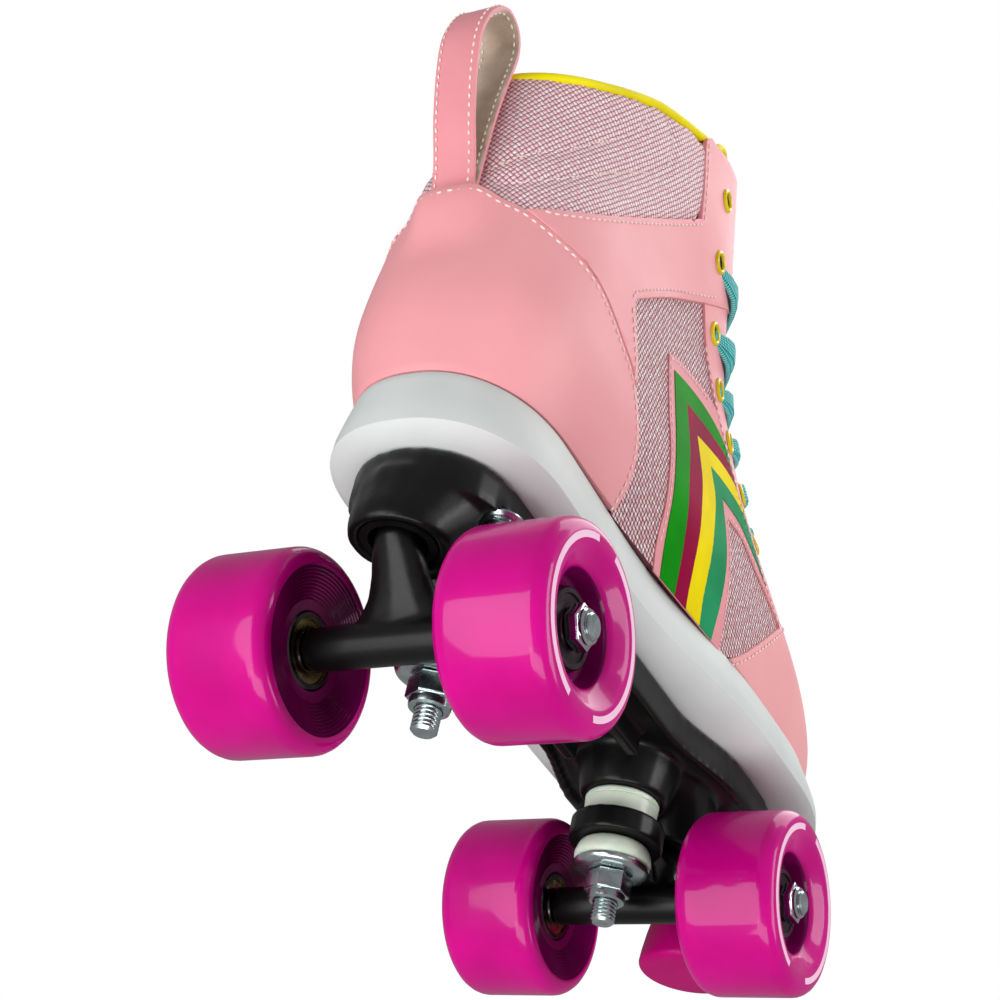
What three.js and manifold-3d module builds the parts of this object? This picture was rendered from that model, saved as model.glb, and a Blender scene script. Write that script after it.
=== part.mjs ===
// Quad roller skate with a laced high-top boot, in millimetres.
// Inside this file +X is the skate's right, +Y points to the toe and +Z is up. The ground is at Z = 0 and
// Y = 0 is midway between the two axles. The last lines move the whole skate along Y, so that the origin
// ends under the middle of its length. Pieces that come twice, one per truck, are made for the front truck
// and turned half a turn for the rear one.
import * as THREE from 'three';
import { mergeVertices } from 'three/addons/utils/BufferGeometryUtils.js';
import Module from 'manifold-3d';

const wasm = await Module();
wasm.setup();

// ---- Driving dimensions -------------------------------------------------------------------------

const GAP = 0.3; // clearance between touching pieces
const HALF_BASE = 82; // axle to middle of the wheelbase
const HALF_TRACK = 41.5; // wheel centre to middle of the skate

// Radii of the tread, of its bevelled edge, of the flat face, of the dished mouth, of the dish's floor and of
// the web between the bearings; edge and bevel are how far the two steps of the edge reach in from the face.
const WHEEL = { radius: 29, shoulder: 27.6, face: 24.5, mouth: 21, throat: 13.5, web: 9.5, width: 33,
  edge: 4.5, bevel: 1.6 };
const BEARING = { outer: 11, bore: 4, width: 7, inset: 3.5 };
const SPACER = { length: 8.4, radius: 5.6, bore: 4.2 };
const AXLE = { radius: 3.7, halfLength: 58.2 };
const AXLE_NUT = { flats: 12.7, thick: 6.2 };

const HANGER = { tube: 6.3, halfLength: 28.2, ring: 15.5, ringBottom: 39.5, ringTop: 47.5, hole: 7.2,
  armHalf: 8 };
// The hanger's neck from the axle up to the pivot ball: [z, y, half-width, half-depth].
const NECK = [[27, 82, 23, 5.6], [31, 82, 19, 5.6], [35, 83, 14.5, 5.8], [40, 85, 11, 6.4], [45, 88, 9.2, 7],
  [49.6, 91.5, 8.2, 7], [52.8, 93.6, 7, 7], [59, 94, 6.2, 6.2]];
// The arm from the neck to the ring around the kingpin, seen from the side as [y, z].
const ARM = [[69, 46.5], [69, 40], [74, 40], [80, 30], [86, 32], [89, 45], [80, 46.5]];
const KINGPIN = { y: 61, radius: 3.9, bottom: 13, top: 72 };
const KINGPIN_NUT = { flats: 13, bottom: 20, top: 29.6 };
const RETAINER = { radius: 12.3, bottom: 29.9, top: 32.2 };
const LOWER_CUSHION = { lower: 12.5, upper: 11.2, hole: 5.2, bottom: 32.5, top: 39.2 };
const UPPER_CUSHION = { lower: 11.8, upper: 12.2, hole: 5.2, bottom: 47.8, top: 55.7 };
const PIVOT = { y: 94, z: 60, ball: 7.2, cup: 11, cupWall: 2.4, cupFloor: 1.2, cupBottom: 53.2, cupTop: 69 };

const PLATE = { top: 78, under: 70, middle: 22, rimShare: 0.88, rimHeight: 4, rimBottom: 67 };
const RIB = { width: 4, length: 84, height: 10, x: 11, z: 66 };
const STOP_BOSS = { radius: 15, bottom: 62, holeBottom: 55, holeTop: 75 };
const KINGPIN_BOSS = { radius: 14.5, root: 18, bottom: 56 };
// The block around the pivot cup: [z, y, half-width, half-length].
const PIVOT_BLOCK = [[52.6, 93.6, 14.6, 14.6], [57, 91.6, 16, 17], [64, 86, 19, 21], [72, 80, 22, 26]];
const BOLTS = { x: 20, rearY: -77, frontY: 106, radius: 2.7, bottom: 63.5, neck: 83.5, top: 85.8, head: 5,
  pocket: 8 };
const BOLT_NUT = { flats: 8.5, bottom: 64.6, top: 68.6, washer: 6.6, washerBottom: 68.2 };

const TOE_STOP = { y: 131, bottom: 25.5, top: 53, wide: 17.5, narrow: 13, edge: 2, stem: 6.8,
  stemBottom: 40.3, stemTop: 70 };
const STOP_NUT = { flats: 24, bottom: 56.5, top: 61.7 };

const SOLE = { recess: 86, rim: 4.5, headBottom: 83.2, headHole: 5.3 };
const INSOLE = { bottom: 86.3, top: 90.3, inset: 0.4 };
const UPPER = { shell: 3, collar: 8, tongueIn: 3.4, tongue: 5 };
const STRAP = { width: 14, thickness: 2.2 };
// The laces lie this far outside the boot, at the eyelets and in the middle, and cross higher up at the toe
// end, where the arch rises most.
const LACE = { width: 6.5, thickness: 1.5, lift: 3, middleLift: 2.4, steps: 5 };
const LACE_ARCH = { lowSum: 320, lowRise: 13, highSum: 450, highRise: 2 };
const BINDING = { radius: 1.4, lift: 2.5, depth: 1.6, endY: 2, endZ: 268, steps: 30 };

// Outer surface of the boot at each height: [z, heel end, toe end, half-width at the heel,
// half-width at the ball, length of the rounded heel].
const LAST = [
  [100, -110, 166, 31, 37, 42],
  [112, -112, 164, 34.5, 38, 42],
  [125, -113, 153, 36.5, 38, 42],
  [140, -112.5, 131, 36.5, 36.5, 42],
  [155, -111.5, 104, 36, 35, 43],
  [172, -110.5, 79, 35.5, 34, 48],
  [190, -109.5, 62, 34.8, 34, 59],
  [210, -108, 52, 35, 36, 73],
  [235, -106, 44, 36, 38, 80],
  [260, -105, 38, 36, 39, 84],
  [286, -105, 34, 36, 39, 84],
];
// Outer surface of the cup sole, in the same columns, and how much narrower its waist is.
const CUP = [
  [78.3, -103, 158, 27, 34, 42],
  [79.5, -109, 165, 32.5, 41, 42],
  [82, -112, 169, 34.5, 43.5, 42],
  [86, -112, 169, 34.3, 43.2, 42],
  [100, -110.5, 165.5, 31.2, 37.4, 42],
];
const CUP_WAIST = { depth: 4, y: 2, spread: 42 };
const NO_WAIST = { depth: 0, y: 0, spread: 1 };
const HEEL_ROUND = 2.3; // exponent of the rounded heel, 2 is an ellipse
const TOE_ROUND = 2.05;
const TOE_LENGTH = 66;
const HEEL_END = -60; // the width changes from that of the heel to that of the ball between these two
const BALL_START = 70;

// Edges of the boot's panels seen from the side, as [y, z].
const COLLAR_TOP = [[-150, 218], [-108, 220], [-85, 232], [-61, 246], [-41, 255], [-19, 265], [0, 271],
  [80, 282]];
const COLLAR_SEAM = [[-150, 171], [-110, 170], [-104, 165], [-97, 167], [-83, 177], [-63, 194], [-38, 216],
  [-25, 228]];
const HEEL_SEAM = [[-150, 170.6], [-110, 169.5], [-104, 164.4], [-101, 160.5], [-95, 156.5], [-84, 154],
  [-74, 151], [-61, 146], [-49, 140], [-41, 128], [-37, 118], [-36, 108], [-37, 90]];
const TOE_SEAM = [[31, 84], [41, 94], [54, 104], [67, 117], [83, 133], [100, 147], [112, 180]];
const QUARTER_REAR = -102;
// Half of the lacing gap seen from the front, as [x, z].
const THROAT = [[14, 153], [22, 162], [28, 174], [31, 199], [33, 275], [33.5, 330]];
const TONGUE_SIDE = [[-16, 300], [-14, 250], [-6, 205], [6, 182], [26, 165], [60, 155], [91, 151]];
const TONGUE_TOP = { half: 40, z: 286, corner: 18 };
// Eyelets of the right side, as [y, z], from the top pair to the toe. The top pair is left open.
const EYELETS = [[-9, 251], [-6, 225], [3, 201], [15, 186], [30, 175], [48, 166], [67, 158]];
// The pull loop's middle line seen from the side, as [y, z], from one sewn end to the other.
const STRAP_LINE = [[-114.6, 166], [-116.6, 176], [-121.5, 190], [-126.5, 205], [-128.5, 218], [-125.5, 230],
  [-118.5, 238], [-111, 236.5], [-107.8, 228.5], [-109.3, 214], [-110.8, 200], [-111.8, 186], [-112, 166]];
// Ends of the finished skate: the pull loop at the heel and the toe of the sole.
const BACK_END = -129.6;
const TOE_END = 168.4;

// ---- Shape helpers ------------------------------------------------------------------------------

const X = new THREE.Vector3(1, 0, 0);

function solidFrom(geometry) {
  const bare = geometry.clone();
  bare.deleteAttribute('normal');
  bare.deleteAttribute('uv');
  const merged = mergeVertices(bare, 1e-4);
  const vertProperties = Float32Array.from(merged.attributes.position.array);
  const triVerts = Uint32Array.from(merged.index.array);
  return new wasm.Manifold(new wasm.Mesh({ numProp: 3, vertProperties, triVerts }));
}

function geometryFrom(solid) {
  const mesh = solid.getMesh();
  const geometry = new THREE.BufferGeometry();
  geometry.setAttribute('position', new THREE.Float32BufferAttribute(mesh.vertProperties, 3));
  geometry.setIndex(Array.from(mesh.triVerts));
  return geometry;
}

function unite(...geometries) {
  const [first, ...rest] = geometries.map(solidFrom);
  return geometryFrom(rest.reduce((sum, solid) => sum.add(solid), first));
}

function cut(geometry, ...cutters) {
  const whole = solidFrom(geometry);
  return geometryFrom(cutters.reduce((left, cutter) => left.subtract(solidFrom(cutter)), whole));
}

function common(geometry, ...others) {
  const whole = solidFrom(geometry);
  return geometryFrom(others.reduce((left, other) => left.intersect(solidFrom(other)), whole));
}

// A solid turned about Z from a closed profile of [radius, z] points.
function turned(profile, sides) {
  const points = profile.map(([radius, z]) => new THREE.Vector2(radius, z));
  return new THREE.LatheGeometry(points, sides).rotateX(Math.PI / 2);
}

function rod(radius, bottom, top, sides) {
  return turned([[0, bottom], [radius, bottom], [radius, top], [0, top]], sides);
}

function ring(outer, inner, bottom, top, sides) {
  return turned([[inner, bottom], [outer, bottom], [outer, top], [inner, top], [inner, bottom]], sides);
}

// Turns a shape made about Z so that its Z runs along X.
function alongX(geometry) {
  return geometry.rotateY(Math.PI / 2);
}

function hexNut(flats, bottom, top, hole) {
  const outline = new THREE.Shape();
  for (let corner = 0; corner < 6; corner += 1) {
    const angle = corner * Math.PI / 3;
    const reach = flats / Math.sqrt(3);
    const point = [reach * Math.cos(angle), reach * Math.sin(angle)];
    if (corner === 0) outline.moveTo(...point);
    else outline.lineTo(...point);
  }
  outline.closePath();
  outline.holes.push(new THREE.Path().absarc(0, 0, hole, 0, 2 * Math.PI, true));
  const settings = { depth: top - bottom, bevelEnabled: false, curveSegments: 8 };
  return new THREE.ExtrudeGeometry(outline, settings).translate(0, 0, bottom);
}

// Closed skin over rings that all have the same number of points, counterclockwise from above.
function skin(rings) {
  const count = rings[0].length;
  const points = rings.flat();
  const index = [];
  for (let level = 0; level < rings.length - 1; level += 1) {
    for (let j = 0; j < count; j += 1) {
      const a = level * count + j;
      const b = level * count + (j + 1) % count;
      index.push(a, b, b + count, a, b + count, a + count);
    }
  }
  for (const [level, turn] of [[0, -1], [rings.length - 1, 1]]) {
    const middle = new THREE.Vector3();
    rings[level].forEach((point) => middle.addScaledVector(point, 1 / count));
    points.push(middle);
    for (let j = 0; j < count; j += 1) {
      const a = level * count + j;
      const b = level * count + (j + 1) % count;
      index.push(...(turn > 0 ? [a, b, points.length - 1] : [b, a, points.length - 1]));
    }
  }
  const geometry = new THREE.BufferGeometry().setFromPoints(points);
  geometry.setIndex(index);
  return geometry;
}

// A prism across the skate: an outline of [y, z] points, from x = from to x = to.
function acrossPrism(outline, from, to) {
  const shape = new THREE.Shape(outline.map(([y, z]) => new THREE.Vector2(y, z)));
  const prism = new THREE.ExtrudeGeometry(shape, { depth: to - from, bevelEnabled: false });
  const axes = new THREE.Matrix4().set(0, 0, 1, from, 1, 0, 0, 0, 0, 1, 0, 0, 0, 0, 0, 1);
  return prism.applyMatrix4(axes);
}

// A prism along the skate: an outline of [x, z] points, from y = from to y = to.
function alongPrism(outline, from, to) {
  const shape = new THREE.Shape(outline.map(([x, z]) => new THREE.Vector2(x, z)));
  const prism = new THREE.ExtrudeGeometry(shape, { depth: to - from, bevelEnabled: false });
  return prism.rotateX(Math.PI / 2).translate(0, to, 0);
}

// A closed stack of upright ovals, from the lowest up: [z, y, half-width, half-length].
function ovalStack(sections, sides) {
  const rings = sections.map(([z, y, halfWidth, halfLength]) => (
    Array.from({ length: sides }, (_, k) => {
      const angle = 2 * Math.PI * k / sides;
      return new THREE.Vector3(halfWidth * Math.cos(angle), y + halfLength * Math.sin(angle), z);
    })));
  return skin(rings);
}

// ---- Surfaces of the boot and the sole ------------------------------------------------------------

// Smooth value of every column of a table at height z.
function rowAt(table, z) {
  let i = 0;
  while (i < table.length - 2 && z > table[i + 1][0]) i += 1;
  const [before, start, end, after] = [i - 1, i, i + 1, i + 2].map((k) => (
    table[THREE.MathUtils.clamp(k, 0, table.length - 1)]));
  const span = end[0] - start[0];
  const t = (z - start[0]) / span;
  return start.map((value, column) => {
    const slopeStart = span * (end[column] - before[column]) / (end[0] - before[0]);
    const slopeEnd = span * (after[column] - value) / (after[0] - start[0]);
    return (2 * t ** 3 - 3 * t ** 2 + 1) * value + (t ** 3 - 2 * t ** 2 + t) * slopeStart
      + (3 * t ** 2 - 2 * t ** 3) * end[column] + (t ** 3 - t ** 2) * slopeEnd;
  });
}

// A point on one level's outline: s runs from 0 at the back of the heel to 1 at the toe, and negative s
// is the left side. A third of s covers the rounded heel and a third the rounded toe.
function onOutline(table, waist, s, z) {
  const [, back, front, heelHalf, ballHalf, heelRound] = rowAt(table, z);
  const share = Math.abs(s);
  const half = (front - back) / 2;
  const rear = Math.min(heelRound, half);
  const nose = Math.min(TOE_LENGTH, half);
  let y;
  if (share < 1 / 3) y = back + rear * (1 - Math.cos(share * 1.5 * Math.PI) ** (2 / HEEL_ROUND));
  else if (share < 2 / 3) y = back + rear + (front - nose - back - rear) * (share * 3 - 1);
  else y = front - nose * (1 - Math.cos((1 - share) * 1.5 * Math.PI) ** (2 / TOE_ROUND));
  const blend = THREE.MathUtils.smoothstep(y, HEEL_END, BALL_START);
  const dip = waist.depth * Math.exp(-(((y - waist.y) / waist.spread) ** 2));
  const width = THREE.MathUtils.lerp(heelHalf, ballHalf, blend) - dip;
  const heelShare = 1 - THREE.MathUtils.clamp((y - back) / rear, 0, 1);
  const toeShare = 1 - THREE.MathUtils.clamp((front - y) / nose, 0, 1);
  const heelPart = (1 - heelShare ** HEEL_ROUND) ** (1 / HEEL_ROUND);
  const toePart = (1 - toeShare ** TOE_ROUND) ** (1 / TOE_ROUND);
  return new THREE.Vector3(Math.sign(s) * width * heelPart * toePart, y, z);
}

function wrapped(s) {
  return s > 1 ? s - 2 : s < -1 ? s + 2 : s;
}

// The same point moved inwards along the surface's normal.
function insidePoint(table, waist, s, z, depth) {
  const point = onOutline(table, waist, s, z);
  if (depth === 0) return point;
  const step = 0.01;
  const ahead = onOutline(table, waist, wrapped(s + step), z);
  const around = ahead.sub(onOutline(table, waist, wrapped(s - step), z));
  const up = onOutline(table, waist, s, z + 1).sub(onOutline(table, waist, s, z - 1));
  const normal = around.cross(up).normalize();
  return point.addScaledVector(normal, -depth);
}

const AROUND = 36;
const SHARES = Array.from({ length: AROUND }, (_, k) => -1 + 2 * (k + 0.5) / AROUND);

function lastSolid(depth, levels) {
  return skin(levels.map((z) => SHARES.map((s) => insidePoint(LAST, NO_WAIST, s, z, depth))));
}

function cupSolid(depth, levels) {
  return skin(levels.map((z) => SHARES.map((s) => insidePoint(CUP, CUP_WAIST, s, z, depth).setZ(z))));
}

// ---- Pieces of a truck --------------------------------------------------------------------------------

function hangerShape() {
  const { tube, halfLength, armHalf } = HANGER;
  const barrel = alongX(rod(tube, -halfLength, halfLength, 16)).translate(0, HALF_BASE, WHEEL.radius);
  const collarRing = rod(HANGER.ring, HANGER.ringBottom, HANGER.ringTop, 20).translate(0, KINGPIN.y, 0);
  const neck = ovalStack(NECK, 12);
  const ball = new THREE.SphereGeometry(PIVOT.ball, 12, 7).translate(0, PIVOT.y, PIVOT.z);
  const arm = acrossPrism(ARM, -armHalf, armHalf);
  const kingpinHole = rod(HANGER.hole, HANGER.ringBottom - 1, HANGER.ringTop + 1, 18);
  kingpinHole.translate(0, KINGPIN.y, 0);
  const axleHole = alongX(rod(AXLE.radius + GAP, -HALF_TRACK, HALF_TRACK, 16));
  axleHole.translate(0, HALF_BASE, WHEEL.radius);
  return cut(unite(barrel, collarRing, neck, ball, arm), kingpinHole, axleHole);
}

function axleShape() {
  const { radius, halfLength } = AXLE;
  return alongX(rod(radius, -halfLength, halfLength, 16)).translate(0, HALF_BASE, WHEEL.radius);
}

function pivotCupShape() {
  const inner = PIVOT.cup - PIVOT.cupWall;
  const floor = PIVOT.cupTop - PIVOT.cupFloor;
  const profile = [[0, PIVOT.cupTop], [0, floor], [inner, floor], [inner, PIVOT.cupBottom],
    [PIVOT.cup, PIVOT.cupBottom], [PIVOT.cup, PIVOT.cupTop], [0, PIVOT.cupTop]];
  return turned(profile, 20).translate(0, PIVOT.y, 0);
}

function cushionShape({ lower, upper, hole, bottom, top }) {
  const profile = [[hole, bottom], [lower, bottom], [upper, top], [hole, top], [hole, bottom]];
  return turned(profile, 20).translate(0, KINGPIN.y, 0);
}

function retainerShape() {
  const { radius, bottom, top } = RETAINER;
  return ring(radius, KINGPIN.radius + GAP, bottom, top, 20).translate(0, KINGPIN.y, 0);
}

function kingpinShape() {
  return rod(KINGPIN.radius, KINGPIN.bottom, KINGPIN.top, 16).translate(0, KINGPIN.y, 0);
}

function kingpinNutShape() {
  const { flats, bottom, top } = KINGPIN_NUT;
  return hexNut(flats, bottom, top, KINGPIN.radius + GAP).translate(0, KINGPIN.y, 0);
}

// ---- Pieces of a wheel, made about X with the outer face towards +X -----------------------------------

const WHEEL_INNER = -WHEEL.width / 2;
const INNER_BEARING = WHEEL_INNER + BEARING.inset;
const OUTER_BEARING = INNER_BEARING + BEARING.width + SPACER.length + 2 * GAP;

function wheelShape() {
  const half = WHEEL.width / 2;
  const pocket = BEARING.outer + GAP;
  const webFrom = INNER_BEARING + BEARING.width + GAP;
  const webTo = OUTER_BEARING - GAP;
  const profile = [
    [WHEEL.face, -half],
    [WHEEL.shoulder, -half + WHEEL.bevel],
    [WHEEL.radius, -half + WHEEL.edge],
    [WHEEL.radius, half - WHEEL.edge],
    [WHEEL.shoulder, half - WHEEL.bevel],
    [WHEEL.face, half],
    [WHEEL.mouth, half],
    [WHEEL.throat, OUTER_BEARING + BEARING.width],
    [pocket, OUTER_BEARING + BEARING.width],
    [pocket, webTo],
    [WHEEL.web, webTo],
    [WHEEL.web, webFrom],
    [pocket, webFrom],
    [pocket, INNER_BEARING],
    [WHEEL.throat, INNER_BEARING],
    [WHEEL.face, -half],
  ];
  return alongX(turned(profile, 28));
}

function bearingShape(from) {
  return alongX(ring(BEARING.outer, BEARING.bore, from, from + BEARING.width, 18));
}

function spacerShape() {
  const from = INNER_BEARING + BEARING.width + GAP;
  return alongX(ring(SPACER.radius, SPACER.bore, from, from + SPACER.length, 12));
}

function axleNutShape() {
  const from = OUTER_BEARING + BEARING.width + GAP;
  return alongX(hexNut(AXLE_NUT.flats, from, from + AXLE_NUT.thick, AXLE.radius + GAP));
}

// ---- Plate ------------------------------------------------------------------------------------------

// The plate's outline seen from below, narrowed to a share of its width by an even border.
function plateOutline(share) {
  const lengthShare = 1 - (1 - share) / 4.2;
  const outline = new THREE.Shape();
  outline.moveTo(0, -105);
  outline.bezierCurveTo(14, -105, 24, -95, 24, -80);
  outline.lineTo(24, 40);
  outline.bezierCurveTo(25, 60, 32, 66, 32, 90);
  outline.bezierCurveTo(32, 128, 18, 149, 0, 149);
  outline.bezierCurveTo(-18, 149, -32, 128, -32, 90);
  outline.bezierCurveTo(-32, 66, -25, 60, -24, 40);
  outline.lineTo(-24, -80);
  outline.bezierCurveTo(-24, -95, -14, -105, 0, -105);
  return outline.getPoints(6).map((point) => (
    new THREE.Vector2(point.x * share, (point.y - PLATE.middle) * lengthShare + PLATE.middle)));
}

// The block under one end of the plate that holds the pivot cup and the kingpin.
function mountBlock() {
  const { radius, root, bottom } = KINGPIN_BOSS;
  const profile = [[0, bottom], [radius, bottom], [root, PLATE.under + 2], [0, PLATE.under + 2]];
  return unite(ovalStack(PIVOT_BLOCK, 18), turned(profile, 18).translate(0, KINGPIN.y, 0));
}

function plateShape() {
  const slabShape = new THREE.Shape(plateOutline(1));
  const slab = new THREE.ExtrudeGeometry(slabShape, { depth: PLATE.top - PLATE.under, bevelEnabled: false });
  slab.translate(0, 0, PLATE.under);
  const rimShape = new THREE.Shape(plateOutline(1));
  rimShape.holes.push(new THREE.Path(plateOutline(PLATE.rimShare).reverse()));
  const rim = new THREE.ExtrudeGeometry(rimShape, { depth: PLATE.rimHeight, bevelEnabled: false });
  rim.translate(0, 0, PLATE.rimBottom);
  const ribs = [-1, 1].map((side) => (
    new THREE.BoxGeometry(RIB.width, RIB.length, RIB.height).translate(side * RIB.x, 0, RIB.z)));
  const stopBoss = rod(STOP_BOSS.radius, STOP_BOSS.bottom, PLATE.under + 2, 18).translate(0, TOE_STOP.y, 0);
  const ends = [mountBlock(), mountBlock().rotateZ(Math.PI)];
  const cupHole = rod(PIVOT.cup + GAP, PIVOT.cupBottom - 2, PIVOT.cupTop + GAP, 20);
  const kingpinHole = rod(KINGPIN.radius + GAP, KINGPIN_BOSS.bottom - 2, KINGPIN.top + GAP, 16);
  const holes = [1, -1].flatMap((end) => [
    cupHole.clone().translate(0, end * PIVOT.y, 0),
    kingpinHole.clone().translate(0, end * KINGPIN.y, 0),
  ]);
  const boltHoles = boltPlaces().flatMap(([, x, y]) => [
    rod(BOLTS.radius + GAP, BOLTS.bottom - 2, PLATE.top + 2, 10).translate(x, y, 0),
    rod(BOLTS.pocket, PIVOT.cupBottom - 2, PLATE.under, 14).translate(x, y, 0),
  ]);
  const { holeBottom, holeTop } = STOP_BOSS;
  const stopHole = rod(TOE_STOP.stem + GAP, holeBottom, holeTop, 20).translate(0, TOE_STOP.y, 0);
  return cut(unite(slab, rim, ...ribs, stopBoss, ...ends), ...holes, ...boltHoles, stopHole);
}

function boltPlaces() {
  const { x, rearY, frontY } = BOLTS;
  return [
    ['rear_left', -x, rearY],
    ['rear_right', x, rearY],
    ['front_left', -x, frontY],
    ['front_right', x, frontY],
  ];
}

function boltShape() {
  const { radius, bottom, neck, top, head } = BOLTS;
  return turned([[0, bottom], [radius, bottom], [radius, neck], [head, neck], [head, top], [0, top]], 10);
}

function boltNutShape() {
  const { flats, bottom, top, washer, washerBottom } = BOLT_NUT;
  const flange = rod(washer, washerBottom, PLATE.under - GAP, 14);
  const body = hexNut(flats, bottom, top, 1);
  return cut(unite(flange, body), rod(BOLTS.radius + GAP, bottom - 1, PLATE.under, 10));
}

// ---- Toe stop -----------------------------------------------------------------------------------------

function stopPadShape() {
  const { bottom, top, wide, narrow, edge, stem, stemBottom } = TOE_STOP;
  const hole = stem + GAP;
  const floor = stemBottom - GAP;
  const profile = [[0, bottom], [wide - edge, bottom], [wide, bottom + edge], [narrow, top], [hole, top],
    [hole, floor], [0, floor]];
  return turned(profile, 26).translate(0, TOE_STOP.y, 0);
}

function stopStemShape() {
  return rod(TOE_STOP.stem, TOE_STOP.stemBottom, TOE_STOP.stemTop, 20).translate(0, TOE_STOP.y, 0);
}

function stopNutShape() {
  const { flats, bottom, top } = STOP_NUT;
  return hexNut(flats, bottom, top, TOE_STOP.stem + GAP).translate(0, TOE_STOP.y, 0);
}

// ---- Boot ---------------------------------------------------------------------------------------------

const SHELL_LEVELS = [100.3, 107, 115, 124, 132, 140, 148, 156, 165, 174, 184, 197, 212, 232, 255, 286];
const CAVITY_LEVELS = [99, ...SHELL_LEVELS.slice(1, -1), 287];

// A side outline grown a little about one of its corners, to leave the gap at a seam.
function grown(outline, [cornerY, cornerZ], share) {
  const scale = 1 + share;
  return outline.map(([y, z]) => [cornerY + (y - cornerY) * scale, cornerZ + (z - cornerZ) * scale]);
}

const BEYOND = 70; // half the width of a cutter that reaches past both sides of the boot
const HEEL_CORNER = [-150, 90];
const COLLAR_CORNER = [-150, 320];
const TOE_CORNER = [240, 84];
const HEEL_AREA = [...HEEL_SEAM, HEEL_CORNER];
const COLLAR_AREA = [...COLLAR_SEAM, [-32, 262], [-32, 320], COLLAR_CORNER];
const TOE_AREA = [...TOE_SEAM, [240, 180], TOE_CORNER];
const ABOVE_COLLAR = [...COLLAR_TOP, [80, 330], [-150, 330]];

const aboveCollar = acrossPrism(ABOVE_COLLAR, -BEYOND, BEYOND);
const upperSolid = lastSolid(0, SHELL_LEVELS);
const upperShell = cut(upperSolid, lastSolid(UPPER.shell, CAVITY_LEVELS), aboveCollar);

function heelCounterShape() {
  return common(upperShell, acrossPrism(HEEL_AREA, -BEYOND, BEYOND));
}

function toeCapShape() {
  return common(upperShell, acrossPrism(TOE_AREA, -BEYOND, BEYOND));
}

function collarShape() {
  const thick = cut(upperSolid, lastSolid(UPPER.collar, CAVITY_LEVELS), aboveCollar);
  return common(thick, acrossPrism(COLLAR_AREA, -BEYOND, BEYOND));
}

function mirrored(half) {
  return [...half, ...half.map(([x, z]) => [-x, z]).reverse()];
}

function quarterShape(side) {
  const frontOfHeel = new THREE.BoxGeometry(BEYOND, 300, 240);
  frontOfHeel.translate(side * (BEYOND + GAP) / 2, QUARTER_REAR + 150, 200);
  const others = [
    grown(HEEL_AREA, HEEL_CORNER, 0.006),
    grown(COLLAR_AREA, COLLAR_CORNER, 0.006),
    grown(TOE_AREA, TOE_CORNER, 0.003),
  ].map((outline) => acrossPrism(outline, -BEYOND, BEYOND));
  const throat = alongPrism(mirrored(THROAT), 0, 160);
  return cut(common(upperShell, frontOfHeel), ...others, throat);
}

function tongueShape() {
  const outer = lastSolid(UPPER.tongueIn, SHELL_LEVELS);
  const inner = lastSolid(UPPER.tongueIn + UPPER.tongue, CAVITY_LEVELS);
  const side = acrossPrism([...TONGUE_SIDE, [91, 300]], -BEYOND, BEYOND);
  const { half, z, corner } = TONGUE_TOP;
  const front = alongPrism(mirrored([[half, 140], [half, z - corner], [half - corner, z]]), -20, 100);
  return common(cut(outer, inner), side, front);
}

function soleShape() {
  const recess = cupSolid(SOLE.rim, [SOLE.recess, 93, 101]);
  const bolts = boltPlaces().flatMap(([, x, y]) => [
    rod(BOLTS.radius + GAP, PLATE.top - 1, SOLE.recess + 1, 10).translate(x, y, 0),
    rod(SOLE.headHole, SOLE.headBottom, SOLE.recess + 1, 10).translate(x, y, 0),
  ]);
  return cut(cupSolid(0, [78.3, 79.5, 82, 86, 93, 100]), recess, ...bolts);
}

function insoleShape() {
  return cupSolid(SOLE.rim + INSOLE.inset, [INSOLE.bottom, INSOLE.top]);
}

// A flat band along a route, each section a rectangle with its width along `across`.
function band(route, across, width, thickness) {
  const rings = route.map((point, k) => {
    const next = route[Math.min(k + 1, route.length - 1)];
    const tangent = next.clone().sub(route[Math.max(k - 1, 0)]).normalize();
    const wide = across[k].clone().normalize().multiplyScalar(width / 2);
    const thick = tangent.clone().cross(wide).normalize().multiplyScalar(thickness / 2);
    return [[-1, -1], [1, -1], [1, 1], [-1, 1]].map(([w, t]) => (
      point.clone().addScaledVector(wide, w).addScaledVector(thick, t)));
  });
  return skin(rings);
}

function pullLoopShape() {
  const curve = new THREE.CatmullRomCurve3(STRAP_LINE.map(([y, z]) => new THREE.Vector3(0, y, z)));
  const route = curve.getSpacedPoints(30);
  return band(route, route.map(() => X), STRAP.width, STRAP.thickness);
}

// Where on the outline a point of the right side lies: the share s at a given y and z.
function shareAt(y, z) {
  let low = 0;
  let high = 1;
  for (let step = 0; step < 30; step += 1) {
    const middle = (low + high) / 2;
    if (onOutline(LAST, NO_WAIST, middle, z).y < y) low = middle;
    else high = middle;
  }
  return (low + high) / 2;
}

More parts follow.
